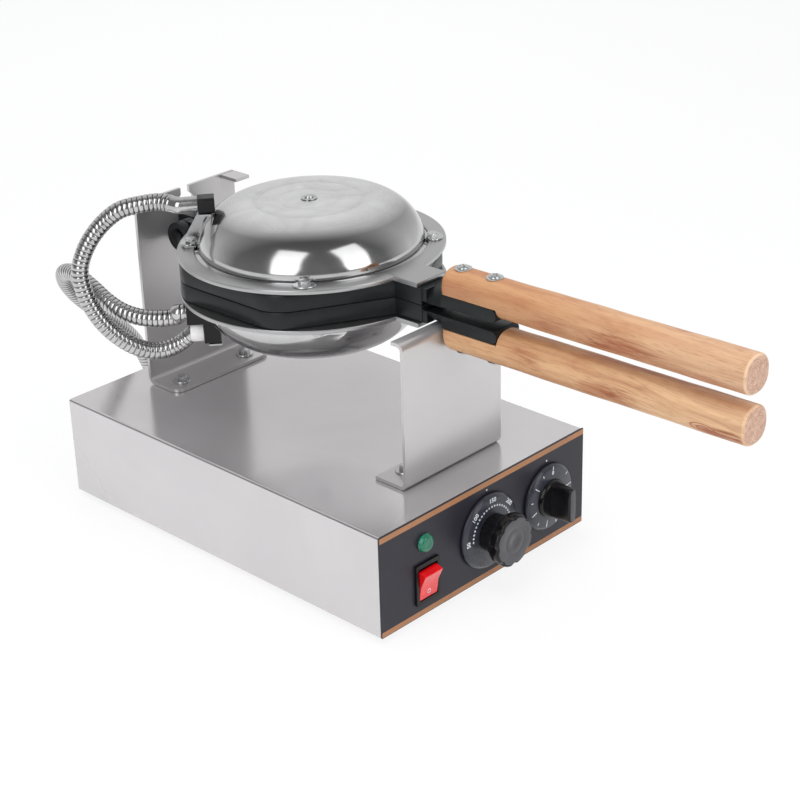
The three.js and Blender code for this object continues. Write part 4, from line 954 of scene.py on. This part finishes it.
class WAFFLE_OT_conduits(bpy.types.Operator):
    """Make the feed conduit and the one that jumps between the halves"""
    bl_idname = "waffle.conduits"
    bl_label = "Conduits"

    def execute(self, context):
        top, jumper, feed, along, out = clamp_seats()
        line = even_route([top, *JUMPER_ROUTE, jumper], along, out)
        tube = make_conduit("jumper_tube", "jumper_conduit", line, JUMPER_PLAIN)
        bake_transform(tube)
        line = even_route([feed, *FEED_ROUTE, FEED_END], out, (0, 1, 0))
        tube = make_conduit("feed_tube", "feed_conduit", line, FEED_PLAIN)
        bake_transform(tube)
        return {"FINISHED"}


# ---------------------------------------------------------------- iron

def rounded_hexagon(apothem, corner, count):
    """Points round a hexagon with rounded corners, at even angles from the middle."""
    reach = (apothem - corner) / math.cos(TWELFTH)
    out = []
    for angle in angles(count):
        off = angle - (TWELFTH + SIXTH * round((angle - TWELFTH) / SIXTH))
        flat = apothem / math.cos(TWELFTH - abs(off))
        swing = reach * math.sin(off)
        arc = reach * math.cos(off) + math.sqrt(max(corner ** 2 - swing ** 2, 0)) if abs(swing) < corner else flat
        at = math.atan2(arc * math.sin(off), arc * math.cos(off) - reach)
        out.append(polar(arc if abs(at) <= TWELFTH else flat, angle))
    return out


def cup_centres(pitch):
    ring = range(-CUP_RINGS, CUP_RINGS + 1)
    return [(pitch * math.cos(TWELFTH) * i, pitch * (j + i / 2)) for i in ring for j in ring
            if abs(i + j) <= CUP_RINGS]


def cup_cell(pitch, radius, depth, sides=36, steps=9):
    """One egg cup in the middle of a six-sided cell of the flat land, opening downwards at height nought."""
    shares = [math.sin(QUARTER * k / steps) for k in range(1, steps)]
    rows = [(radius * share, depth * math.sqrt(1 - share ** 2) ** 0.9) for share in shares]
    lip = [(radius * 0.985, 0.45), (radius + 0.15, 0.08), (radius + 0.7, 0)]
    points, faces = lathe([(0, depth), *rows, *lip], sides)
    start = len(points)
    inner = start - sides
    points += [polar(hexagon_reach(pitch / 2, a), a, 0) for a in angles(sides)]
    faces += [[inner + k, inner + (k + 1) % sides, start + (k + 1) % sides, start + k] for k in range(sides)]
    return points, faces


def land_fill(pitch, edge, parts=6):
    """The flat land between the outermost cells and the wall of the rim, at height nought."""
    cells = cup_centres(pitch)
    borders = {}
    for x, y in cells:
        corners = [polar(pitch / math.sqrt(3), SIXTH * k) for k in range(6)]
        ring = [(round(x + dx, 3), round(y + dy, 3)) for dx, dy in corners]
        for a, b in zip(ring, ring[1:] + ring[:1]):
            if not borders.pop((b, a), None):
                borders[(a, b)] = True
    points = [Vector(p) for p in edge]
    count = len(points)
    lines = [(i, (i + 1) % count) for i in range(count)]
    index = {}
    for a, b in borders:
        dx, dy = b[0] - a[0], b[1] - a[1]
        chain = [a, *((a[0] + dx * k / parts, a[1] + dy * k / parts) for k in range(1, parts)), b]
        keys = [(round(p[0], 2), round(p[1], 2)) for p in chain]
        for key, p in zip(keys, chain):
            if key not in index:
                index[key] = len(points)
                points.append(Vector(p))
        lines += [(index[u], index[v]) for u, v in zip(keys, keys[1:])]
    found, _, faces, *_ = delaunay_2d_cdt(points, lines, [], 1, 1e-4)
    keep = []
    for face in faces:
        middle = sum((found[i] for i in face), Vector((0, 0))) / len(face)
        if not any(in_cell(middle, *cell, pitch / 2) for cell in cells):
            keep.append(list(face))
    return [(p.x, p.y, 0) for p in found], keep


def in_cell(p, x, y, apothem):
    return all(abs((p.x - x) * math.cos(a) + (p.y - y) * math.sin(a)) < apothem
               for a in (TWELFTH, QUARTER, 5 * math.pi / 6))


def pan_casting(sides):
    """The shell round the cooking face: back, side, rim and the wall down to the land."""
    low, wall = PARTING_GAP, RIM_WIDTH
    insets = ((2, PAN_THICK), (0.6, PAN_THICK - 0.5), (0, PAN_THICK - 2), (0, low + 0.9), (0.3, low + 0.25),
              (0.9, low), (wall - 0.8, low), (wall - 0.25, low + 0.25), (wall, low + 0.8), (wall, LAND_DEPTH))
    outlines = [(60, 12, PAN_THICK), *((PAN_APOTHEM - inset, PAN_CORNER - inset, z) for inset, z in insets)]
    rings = [[(x, y, z) for x, y in rounded_hexagon(apothem, corner, sides)] for apothem, corner, z in outlines]
    points, faces = loft(rings, caps=False)
    return points, [*faces, list(range(sides))]


def arm_shapes(inner, outer):
    """The neck, the arm before and behind its journal, and two hinge lugs with the webs under them."""
    top, low, end = PAN_THICK, PARTING_GAP, ARM_END
    shapes = [
        prism([(-98, low), (-98, top), (-133, top), (-137, ARM_HIGH), (-137, low)], -14.5, 14.5),
        prism([(-142, ARM_LOW), (-136, ARM_LOW), (-136, ARM_HIGH), (-142, ARM_HIGH)], -ARM_HALF, ARM_HALF),
        prism([(-156.6, ARM_LOW), (-156.6, ARM_HIGH), (3 - end, ARM_HIGH), (-end, ARM_HIGH - 3), (-end, ARM_LOW + 3),
               (3 - end, ARM_LOW)], -ARM_HALF, ARM_HALF)]
    web = [(98, low), (HINGE_Y - 8, low), (HINGE_Y - 8, 9.6), (HINGE_Y - 2, 12.6), (98, 12.6)]
    eye, hole = ([polar(radius, a) for a in angles(40)] for radius in (HINGE_EYE, HINGE_PIN))
    for a, b in ((-outer, -inner), (inner, outer)):
        lug = [[(x, HINGE_Y + y, z) for y, z in line] for line, x in ((eye, a), (eye, b), (hole, b), (hole, a))]
        shapes += [loft(lug, loop=True), prism(web, a, b)]
    return shapes


class WAFFLE_OT_castings(bpy.types.Operator):
    """Make the two cast halves: cooking faces with 37 egg cups, necks, arms and hinge lugs"""
    bl_idname = "waffle.castings"
    bl_label = "Castings"

    def execute(self, context):
        s = sizes()
        pitch, radius, depth = s.cup_pitch / MM, s.cup_radius / MM, s.cup_depth / MM
        sides = s.round_sides
        rim = rounded_hexagon(PAN_APOTHEM - RIM_WIDTH, PAN_CORNER - RIM_WIDTH, sides)
        land = moved(land_fill(pitch, rim), Matrix.Translation((0, 0, LAND_DEPTH)))
        spots = [Matrix.Translation((x, y, LAND_DEPTH)) for x, y in cup_centres(pitch)]
        boss = lathe([(0, PAN_THICK - 1), (6, PAN_THICK - 1), (6, 26.5), (5.5, 27), (0, 27)], 32)
        bar = lathe([(0, 139), (14.4, 139), (14.7, 139.5), (14.7, 158), (14.4, 158.5), (0, 158.5)], 64)
        for half, lugs in LUGS.items():
            place = iron_place(half)
            cell = build("cup_cell", [cup_cell(pitch, radius, depth)], "casting")
            cups = mesh_shape(scatter("egg_cups", cell, spots, "casting"))
            pan = build(half + "_cast_face", [cups, land, pan_casting(sides)], "casting", 40, place=place)
            arm = build(half + "_cast_arm", arm_shapes(*lugs), "casting", 35, 0.8, place)
            stud = build("boss", [boss], "casting", 35, place=place)
            journal = build("journal", [moved(bar, turned(QUARTER, "X"))], "casting", 35)
            clip_journal(journal.data, place)
            join_into(pan, [arm, stud, journal])
            hand_over(pan, half + "_iron", [half + "_pan"])
        return {"FINISHED"}


def clip_journal(mesh, place):
    """Cuts the round journal down to the arm's own height, and lays it in the iron's place."""
    work = work_on(mesh)
    for height, up in ((ARM_HIGH * MM, 1), (ARM_LOW * MM, -1)):
        geom = [*work.verts, *work.edges, *work.faces]
        cut = bmesh.ops.bisect_plane(work, geom=geom, plane_co=(0, 0, height), plane_no=(0, 0, up), clear_outer=True)
        rim = [e for e in cut["geom_cut"] if isinstance(e, bmesh.types.BMEdge)]
        bmesh.ops.contextual_create(work, geom=rim)
    bmesh.ops.recalc_face_normals(work, faces=work.faces)
    work.transform(Matrix.Scale(MM, 4) @ place @ Matrix.Scale(1 / MM, 4))
    smooth_mesh(work, 35)
    put_back(work, mesh)


def mesh_shape(obj):
    """An object's mesh as points in millimetres and faces. The object goes."""
    shape = [tuple(v.co / MM) for v in obj.data.vertices], [list(p.vertices) for p in obj.data.polygons]
    bpy.data.objects.remove(obj)
    return shape


def join_into(piece, others):
    """Other meshes go into a piece's own mesh."""
    work = work_on(piece.data)
    for other in others:
        work.from_mesh(other.data)
        bpy.data.objects.remove(other)
    put_back(work, piece.data)


def dome_profile(top):
    """The outside of a dome from its lip to its middle, with two soft rings pressed into its top."""
    shares = ((0.985, 0.5), (0.929, 0.68), (0.841, 0.835), (0.73, 0.944), (0.608, 0.99), (0.53, 1.0))
    shoulder = [(DOME_WALL, RING_TOP - 0.4), (DOME_WALL, RING_TOP + 3)]
    shoulder += [(DOME_WALL * r, top * h) for r, h in shares]
    flat = []
    for k in range(1, 41):
        radius = 0.53 * DOME_WALL * (1 - k / 40)
        dip = 1.1 * math.exp(-((radius - 45) / 2.4) ** 2) + 0.5 * math.exp(-((radius - 26) / 1.6) ** 2)
        flat.append((radius, top - dip))
    return [(DOME_LIP, RING_LOW), (DOME_LIP, RING_TOP - 1.1), (DOME_WALL + 0.8, RING_TOP - 0.8),
            *smooth_line(shoulder, 7), *flat]


def tabbed_radius(angle):
    """Radius of the clamp ring's outer edge, with its tab towards the handle."""
    x, y = polar(1, angle)
    if y >= 0:
        return RING_OUTER
    reach = TAB_END / -y
    if abs(x * reach) > TAB_HALF:
        reach = TAB_HALF / max(abs(x), POLE)
    return max(RING_OUTER, reach)


def clamp_ring():
    """The flat ring with its tab. Some angles are added at the corners of the tab."""
    corners = [-QUARTER + s * math.atan2(TAB_HALF, y) + FULL_TURN for s in (-1, 1) for y in (110.7, TAB_END)]
    turns = sorted(angles(180) + corners)
    rows = ((0, RING_LOW, True), (-0.2, RING_LOW, False), (0, RING_LOW + 0.4, False), (0, RING_TOP - 1, False),
            (-0.3, RING_TOP - 0.3, False), (-1, RING_TOP, False), (-0.7, RING_TOP, True), (0, RING_TOP - 0.7, True))
    return loft([[polar(RING_INNER - grow if inside else tabbed_radius(a) + grow, a, z) for a in turns]
                 for grow, z, inside in rows], loop=True)


class WAFFLE_OT_domes(bpy.types.Operator):
    """Make the spun domes, their screws and the flat rings that clamp them"""
    bl_idname = "waffle.domes"
    bl_label = "Domes and rings"

    def execute(self, context):
        screw = ((0, 0), (7, 0), (7, 0.5), (6.7, 0.7), (4.3, 0.7), (4.2, 1.4), (3.6, 2.2), (2, 2.4), (0, 2.2))
        for half, top in DOME_TOPS.items():
            place, body = iron_place(half), half + "_iron"
            outer = dome_profile(top)
            inner = [(max(r - DOME_SHEET, 0), h - DOME_SHEET) for r, h in outer[3:]]
            shape = lathe(outer + inner[::-1] + [(DOME_WALL - DOME_SHEET, RING_LOW)], sizes().round_sides, loop=True)
            add_piece(half + "_spun_dome", [shape], "dome_" + half, place, body, [half + "_dome"],
                      50)
            add_piece(half + "_flat_ring", [clamp_ring()], "ring", place, body, [half + "_ring"])
            head = lathe([(r, top + GAP + h) for r, h in screw], 32)
            add_piece(half + "_dome_bolt", [head], "zinc", place, body, [half + "_dome_screw"])
        return {"FINISHED"}


def handle_rings():
    """Cross-sections of a grip along its length, flat below where it lies on the arm."""
    middle = (HANDLE_LOW + HANDLE_HIGH) / 2
    shares = (0, 0.08, 0.22, 0.45, 0.7, 1)
    places = [(HANDLE_START + NEAR_ROUND * d, NEAR_ROUND) for d in shares]
    body = [HANDLE_START + 6 + k * 4 for k in range(13)] + [ARM_END + 0.25, ARM_END + 0.35]
    places += [(y, NEAR_ROUND) for y in body + [220 + k * 12 for k in range(18)]]
    places += [(HANDLE_END - FAR_ROUND * d, FAR_ROUND) for d in shares[::-1]]
    rings = []
    for y, end in places:
        near = min(y - HANDLE_START, HANDLE_END - y)
        pull = end - math.sqrt(max(end ** 2 - (end - near) ** 2, 0)) if near < end else 0
        wave = 0.12 * math.sin(y * 0.05) + 0.08 * math.sin(y * 0.13)
        half = HANDLE_HALF - pull + (wave if near >= end else 0) - 0.1
        floor = ARM_HIGH + GAP if y <= ARM_END + 0.3 else -math.inf
        rings.append([(squared(half, 0.86, c), -y, max(middle + squared(half, 0.86, s), floor))
                      for c, s in (polar(1, a) for a in angles(64))])
    return rings


def screw_top(radius, height, arm):
    """A pan head with a cross recess, standing on height nought."""
    rows = ((0, 1), (0.16, 1), (0.3, 0.99), (0.42, 0.975), (0.54, 0.94), (0.68, 0.88), (0.82, 0.76), (0.93, 0.55),
            (1, 0.3), (1, 0))
    points, faces = lathe([(radius * r, height * h) for r, h in rows])
    sunk = []
    for x, y, z in points:
        crossed = min(abs(x), abs(y)) < arm and max(abs(x), abs(y)) < radius * 0.6 and z > height * 0.5
        sunk.append((x, y, z - height * 0.45 if crossed else z))
    return sunk, faces


class WAFFLE_OT_handles(bpy.types.Operator):
    """Make the wooden handles and their screws"""
    bl_idname = "waffle.handles"
    bl_label = "Handles"

    def execute(self, context):
        washer = lathe([(0, 0), (7, 0), (7, 0.5), (6.6, 0.8), (0, 0.8)], 40)
        for half in LUGS:
            place, body = iron_place(half), half + "_iron"
            add_piece(half + "_grip", [loft(handle_rings())], "wood", place, body, [half + "_handle"],
                      45)
            head = build("handle_screw", [screw_top(5, 2.8, 0.75), washer], "zinc", 40)
            spots = [place @ Matrix.Translation((0, -y, HANDLE_HIGH - 0.2)) @ turned(y, "Z") for y in HANDLE_SCREWS]
            screws = scatter(half + "_handle_screws", head, spots, "zinc")
            hand_over(screws, body, [half + "_handle_screw_1", half + "_handle_screw_2"])
        return {"FINISHED"}


def hex_bolt(radius, thick, washer, washer_thick, shift=0.0, squeeze=1.0):
    """A hexagon head with a turned top, on a washer at height nought that may be oval and off its middle."""
    top = washer_thick + thick
    flat = radius * math.cos(TWELFTH)
    rows = []
    for z, grow in ((washer_thick, 0), (top - 0.6, 0), (top - 0.15, -0.45), (top, -0.9)):
        rows.append([polar(min(hexagon_reach(flat, a), radius + grow * 1.3) + grow * 0.2, a, z) for a in angles(48)])
    ring = lathe([(0, 0), (washer, 0), (washer, washer_thick * 0.6), (washer - 0.3, washer_thick),
                  (0, washer_thick)], 40)
    return [loft(rows), moved(ring, Matrix.Translation((0, shift, 0)) @ Matrix.Diagonal((1, squeeze, 1, 1)))]


class WAFFLE_OT_fixings(bpy.types.Operator):
    """Set out the bolts of the rings and brackets and the rubber feet"""
    bl_idname = "waffle.fixings"
    bl_label = "Bolts and feet"

    def execute(self, context):
        for half, strap in (("upper", 1), ("lower", 0)):
            spots = []
            for k in range(4):
                turn = RING_BOLT_TURN + k * QUARTER
                spot = polar(RING_BOLT_RADIUS, turn, RING_TOP + GAP + (STRAP_LIFT if k == strap else 0))
                spots.append(iron_place(half) @ Matrix.Translation(spot) @ turned(turn - QUARTER, "Z"))
            bolt = build("ring_bolt", hex_bolt(5, 3.2, 9.2, 1, 1.9, 0.78), "zinc", 32)
            bolts = scatter(half + "_ring_bolts", bolt, spots, "zinc")
            hand_over(bolts, half + "_iron", [f"{half}_ring_bolt_{k}" for k in range(1, 5)])
        bolt = build("bracket_bolt", hex_bolt(5.2, 4, 8, 1.4), "zinc", 32)
        spots = [Matrix.Translation((x, y, BRACKET_TOP + GAP)) @ turned(x, "Z") for x, y in BOLT_PLACES]
        names = [f"{side}_bolt_{k}" for side in ("front_support", "rear_bracket") for k in (1, 2)]
        hand_over(scatter("bracket_bolts", bolt, spots, "zinc"), "base", names)
        profile = [(0, -6.5), (8.2, -6.5), (9, -6.1), (9.3, -5), (10.2, -3.2), (11, -1.2), (10.9, -0.4), (10, 0),
                   (0, 0)]
        foot = build("foot", [lathe(profile)], "rubber", 40)
        feet = scatter("rubber_feet", foot, [Matrix.Translation((x, y, 0)) for x, y in FOOT_PLACES], "rubber")
        hand_over(feet, "base", [f"foot_{k}" for k in range(1, 5)])
        return {"FINISHED"}


class WAFFLE_OT_hinge(bpy.types.Operator):
    """Make the yoke with its axle, the hinge pin and the nut behind the bracket"""
    bl_idname = "waffle.hinge"
    bl_label = "Hinge"

    def execute(self, context):
        place, body = iron_place("upper"), "lower_iron"
        dressed("pivot_yoke", "casting", body, 0.5, 25)
        side = [(0, 31), (6.4, 31), (7, 30.5), (7, 29.3), (5, 29.3)]
        pin = lathe([(r, -h) for r, h in side] + side[::-1])
        turn = Matrix.Translation((0, HINGE_Y, 0)) @ turned(QUARTER, "Y")
        add_piece("turned_hinge_pin", [moved(pin, turn)], "blackened", place, body, ["hinge_pin"])
        nut = [moved(shape, rear_place(0, 163.3, 0)) for shape in hex_bolt(14, 8, 16, 2)]
        axle = lathe([(0, 160), (8, 160), (8, 177.4), (7.4, 178), (0, 178)], 40)
        nut.append(moved(axle, rear_place(0, 0, 0)))
        add_piece("turned_axle_nut", nut, "zinc", place, body, ["axle_nut"], 32)
        return {"FINISHED"}


class WAFFLE_OT_clamps(bpy.types.Operator):
    """Dress the conduit clamps and put a collar round the jumper's lower end"""
    bl_idname = "waffle.clamps"
    bl_label = "Conduit clamps"

    def execute(self, context):
        for half in LUGS:
            dressed(half + "_clamp_strap", "ring", half + "_iron", 0.25)
            dressed(half + "_clamp_block", "plastic", half + "_iron", 0.6, 25)
        _, jumper, _, _, out = clamp_seats()
        axis = Vector((0, 0, 1)).rotation_difference(out.normalized()).to_matrix().to_4x4()
        collar = lathe([(7.5, 0), (8.9, 0), (9.1, 0.4), (8.9, 10.2), (8.2, 11), (7.5, 11)], loop=True)
        place = Matrix.Translation(jumper + out * 8) @ axis
        add_piece("jumper_collar", [collar], "white", place, "lower_iron", [])
        return {"FINISHED"}


# ---------------------------------------------------------------- base

class WAFFLE_OT_housing(bpy.types.Operator):
    """Dress the housing, its panels and the two brackets"""
    bl_idname = "waffle.housing"
    bl_label = "Housing"

    def execute(self, context):
        edge = sizes().edge / MM
        for node, finish, slot, bevel in (
            ("base_shell", "shell", "sheet_steel", edge), ("front_panel", "panel", "charcoal_panel", 0.25),
            ("rear_panel", "shell", "sheet_steel", 0.2), ("front_support", "bracket", "sheet_steel", edge),
            ("rear_bracket", "bracket", "sheet_steel", edge),
        ):
            dressed(node, finish, "base", bevel)
        finish_nodes("shell", "bottom_plate")
        finish_nodes("white", "indicator_body", "terminal_block")
        finish_nodes("zinc", "thermostat_body", "timer_body", "lower_element", "upper_element")
        return {"FINISHED"}


class WAFFLE_OT_glands(bpy.types.Operator):
    """Make the two glands on the rear panel"""
    bl_idname = "waffle.glands"
    bl_label = "Glands"

    def execute(self, context):
        flat = 14 * math.cos(TWELFTH)
        nut = loft([[polar(min(hexagon_reach(flat, a), reach), a, h) for a in angles(48)]
                    for h, reach in ((0.3, 14), (4.6, 14), (5.2, 13))])
        for name, x, z, bore, finish, slot in GLANDS:
            nose = lathe([(bore, -8), (8, -8), (8, 0.3), (11.5, 5.2), (11.5, 12), (10.6, 14), (bore + 1.2, 14.3),
                          (bore, 13.6)], 56, loop=True)
            add_piece(name + "_turned", [nut, nose], finish, rear_place(x, BASE_HALF_Y, z), "base", [name], 34)
        return {"FINISHED"}


# ---------------------------------------------------------------- controls

def number_mesh(text, size):
    """A number as a thin mesh in metres, lying in its own XY plane, its middle at the origin."""
    curve = bpy.data.curves.new("number", "FONT")
    curve.body, curve.size, curve.resolution_u = text, size * MM, 3
    curve.align_x = curve.align_y = "CENTER"
    curve.extrude, curve.offset = 0.06 * MM, 0.12 * MM
    return applied(linked("number", curve), "number")


def marks_on_dial(name, marks, centre, body):
    """Marks given as (shape object, radius, angle, turn) on a dial's face, as one mesh. The objects go."""
    out = front_place(*(c * MM for c in (centre[0], PANEL_Y - DIAL_FACE, centre[1])))
    work = bmesh.new()
    for shape, radius, angle, turn in marks:
        spin = turned(angle, "Z") @ Matrix.Translation((radius * MM, 0, 0)) @ turned(turn, "Z")
        shape.data.transform(out @ spin)
        work.from_mesh(shape.data)
        bpy.data.objects.remove(shape)
    return hand_over(finished(name, work, "ink"), body, [])


def dial_disc(radius):
    return lathe([(3.3, 1), (radius - 0.4, 1), (radius, 1.4), (radius, 2.7), (radius - 0.3, 3.3), (radius - 2.5, 5.2),
                  (radius - 3.1, 5.5), (3.3, 5.5)], 128, loop=True)


def round_mark(radius, sides, hole=0):
    rows = [(hole, 0), (radius, 0), (radius, MARK), (hole, MARK)]
    return lathe(rows, sides, loop=hole > 0)


def bar_mark(half):
    thin = 0.38
    corners = ((-half, -thin), (half, -thin), (half, thin), (-half, thin))
    return loft([[(x, y, z) for x, y in corners] for z in (0, MARK)])


def lobed(rows, lobes=8, sides=192):
    """A solid from rows of height, radius and depth of the hollows between a knob's lobes."""
    hollow = [(a, max(0, math.cos(a * lobes)) ** 1.6) for a in angles(sides)]
    return loft([[polar(radius - share * deep, a, h) for a, share in hollow] for h, radius, deep in rows])


def bar_shape(rows, sides=48):
    """A solid from rows of height, half width and half length of a bar knob with rounded corners."""
    turns = [polar(1, a) for a in angles(sides)]
    return loft([[(squared(waist, 0.55, c), squared(reach, 0.5, s), h) for c, s in turns]
                 for h, waist, reach in rows])


class WAFFLE_OT_thermostat(bpy.types.Operator):
    """Make the thermostat's dial, its numbers and its fluted knob"""
    bl_idname = "waffle.thermostat"
    bl_label = "Thermostat dial"

    def execute(self, context):
        place, body = front_place(THERMOSTAT[0], PANEL_Y, THERMOSTAT[1]), "thermostat_control"
        add_piece("thermostat_disc", [dial_disc(33)], "dial", place, body, ["thermostat_dial"])
        grip = ((5.8, 15.8, 0), (6.3, 16.3, 0), (10, 16.5, 0.1), (13, 16.9, 0.3), (16.5, 18.8, 0.9),
                (19.5, 21.1, 1.5), (22, 22.4, 1.8), (27, 22.6, 1.8), (28.8, 22.3, 1.8), (29.6, 21.5, 1.6),
                (29.8, 20.8, 1.5), (29.5, 20.5, 1.4), (29.5, 5, 0))
        add_piece("thermostat_grip", [lobed(grip)], "gloss", place, body, ["thermostat_knob"])
        # The knob's front is a thin face of lighter grey plastic, a painted sheen.
        face = ((29.55, 20.3, 1.4), (29.95, 20.3, 1.4), (30.05, 19.9, 1.3), (30.05, 17.5, 0.2), (29.9, 11.4, 0),
                (29.75, 11, 0), (29.9, 10.6, 0), (29.85, 5, 0), (29.6, 4.6, 0), (29.55, 0.5, 0))
        add_piece("thermostat_face", [lobed(face)], "painted_sheen", place, body, [])
        marks = [(number_mesh(text, 5.6), 28.4, math.radians(181.5 - 46.6 * k), -QUARTER)
                 for k, text in enumerate(("50", "100", "150", "200", "250", "300"))]
        marks += [(build("dot", [round_mark(0.95, 12)], "ink"), 22.9, math.radians(181.5 - 8.3 * k), 0)
                  for k in range(30)]
        marks_on_dial("thermostat_marks", marks, THERMOSTAT, body)
        return {"FINISHED"}


class WAFFLE_OT_timer(bpy.types.Operator):
    """Make the timer's dial, its ticks and its bar knob"""
    bl_idname = "waffle.timer"
    bl_label = "Timer dial"

    def execute(self, context):
        place, body = front_place(TIMER[0], PANEL_Y, TIMER[1]), "timer_control"
        add_piece("timer_disc", [dial_disc(29.6)], "dial", place, body, ["timer_dial"])
        skirt = lathe([(0, 5.8), (16.6, 5.8), (17, 6.2), (16.6, 8.6), (15.6, 9.5), (0, 9.5)], 72)
        bar = bar_shape(((9.3, 5.5, 16.2), (12, 5, 16.2), (20, 4.2, 16), (26.5, 4.1, 15.8), (28, 3.8, 15.4),
                         (28.7, 3, 14.6)))
        add_piece("timer_grip", [skirt, bar], "gloss", place, body, ["timer_knob"])
        # The bar's front is a thin face of lighter grey plastic, a painted sheen.
        face = bar_shape(((28.72, 3.3, 14.8), (28.95, 3.2, 14.7), (29.02, 2.9, 14.4)))
        add_piece("timer_face", [face], "painted_sheen", place, body, [])
        marks = []
        for k in range(6):
            angle = math.radians(85 + 57 * k)
            half, radius = (3.2, 23.2) if k else (1.7, 26.9)
            marks.append((build("tick", [bar_mark(half)], "ink"), radius, angle, 0))
            marks.append((build("tick", [bar_mark(1.3)], "ink"), 25.2, angle + math.radians(28.5), 0))
        marks.append((number_mesh("0", 4.8), 22.7, math.radians(85), -QUARTER))
        marks_on_dial("timer_marks", marks, TIMER, body)
        return {"FINISHED"}


class WAFFLE_OT_switch(bpy.types.Operator):
    """Make the rocker switch, the lamp and the index dots on the panel"""
    bl_idname = "waffle.switch"
    bl_label = "Switch and lamp"

    def execute(self, context):
        dressed("switch_body", "plastic", "base", 0.5, 30)
        self.rocker_mark(dressed("rocker", "red", "rocker", 0.5, 20))
        lens = []
        profile = ((0, 5), (0.2, 7.7), (1, 7.9), (1.6, 7.5), (3.6, 7.2), (4.5, 6.4), (5, 5), (4.8, 3.4), (4.8, 0.6))
        for h, r in profile:
            flute = 0.18 if 1.2 < h < 4.7 else 0
            lens.append([polar(r - flute * (k % 2), a, h) for k, a in enumerate(angles(48))])
        place = front_place(LAMP[0], PANEL_Y, LAMP[1])
        add_piece("lamp_lens", [loft(lens)], "green", place, "base", ["indicator_lens"], 50)
        dots = [moved(round_mark(0.8, 20), front_place(x, PANEL_Y - 0.02, z + reach))
                for (x, z), reach in ((THERMOSTAT, 36.5), (TIMER, 33))]
        add_piece("index_dots", dots, "ink", None, "base", [])
        return {"FINISHED"}

    def rocker_mark(self, rocker):
        """A ring, the plain mark for off, on the low slope of the rocker."""
        tree = BVHTree.FromObject(rocker, bpy.context.evaluated_depsgraph_get())
        spot, out, *_ = tree.ray_cast(Vector((SWITCH_X, -300, SWITCH_MARK_Z)) * MM, Vector((0, 1, 0)))
        side = Vector((1, 0, 0))
        turn = Matrix((side, out.cross(side).normalized(), out)).transposed().to_4x4()
        ring = moved(round_mark(2.0, 32, 1.5), Matrix.Translation(spot / MM) @ turn)
        add_piece("rocker_marks", [ring], "ink", None, "rocker", [])


# ---------------------------------------------------------------- add-on

STEPS = (
    WAFFLE_OT_studio, WAFFLE_OT_conduits, WAFFLE_OT_castings, WAFFLE_OT_domes, WAFFLE_OT_handles, WAFFLE_OT_fixings,
    WAFFLE_OT_hinge, WAFFLE_OT_clamps, WAFFLE_OT_housing, WAFFLE_OT_glands, WAFFLE_OT_thermostat, WAFFLE_OT_timer,
    WAFFLE_OT_switch,
)


class WAFFLE_PT_panel(bpy.types.Panel):
    """Lists the steps that build the waffle maker"""
    bl_idname = "WAFFLE_PT_panel"
    bl_label = "Bubble waffle maker"
    bl_space_type = "VIEW_3D"
    bl_region_type = "UI"
    bl_category = "Waffle Maker"

    def draw(self, context):
        for group in (context.scene.waffle_sizes, context.scene.waffle_colours):
            box = self.layout.box()
            for key in group.__annotations__:
                box.prop(group, key)
        for step in STEPS:
            self.layout.operator(step.bl_idname)


CLASSES = (WaffleSizes, WaffleColours, *STEPS, WAFFLE_PT_panel)


def register():
    for item in CLASSES:
        bpy.utils.register_class(item)
    bpy.types.Scene.waffle_sizes = PointerProperty(type=WaffleSizes)
    bpy.types.Scene.waffle_colours = PointerProperty(type=WaffleColours)


def unregister():
    del bpy.types.Scene.waffle_sizes
    del bpy.types.Scene.waffle_colours
    for item in reversed(CLASSES):
        bpy.utils.unregister_class(item)


def main():
    register()
    make_finishes()
    for step in STEPS:
        group, name = step.bl_idname.split(".")
        getattr(getattr(bpy.ops, group), name)()


if __name__ == "__main__":
    main()
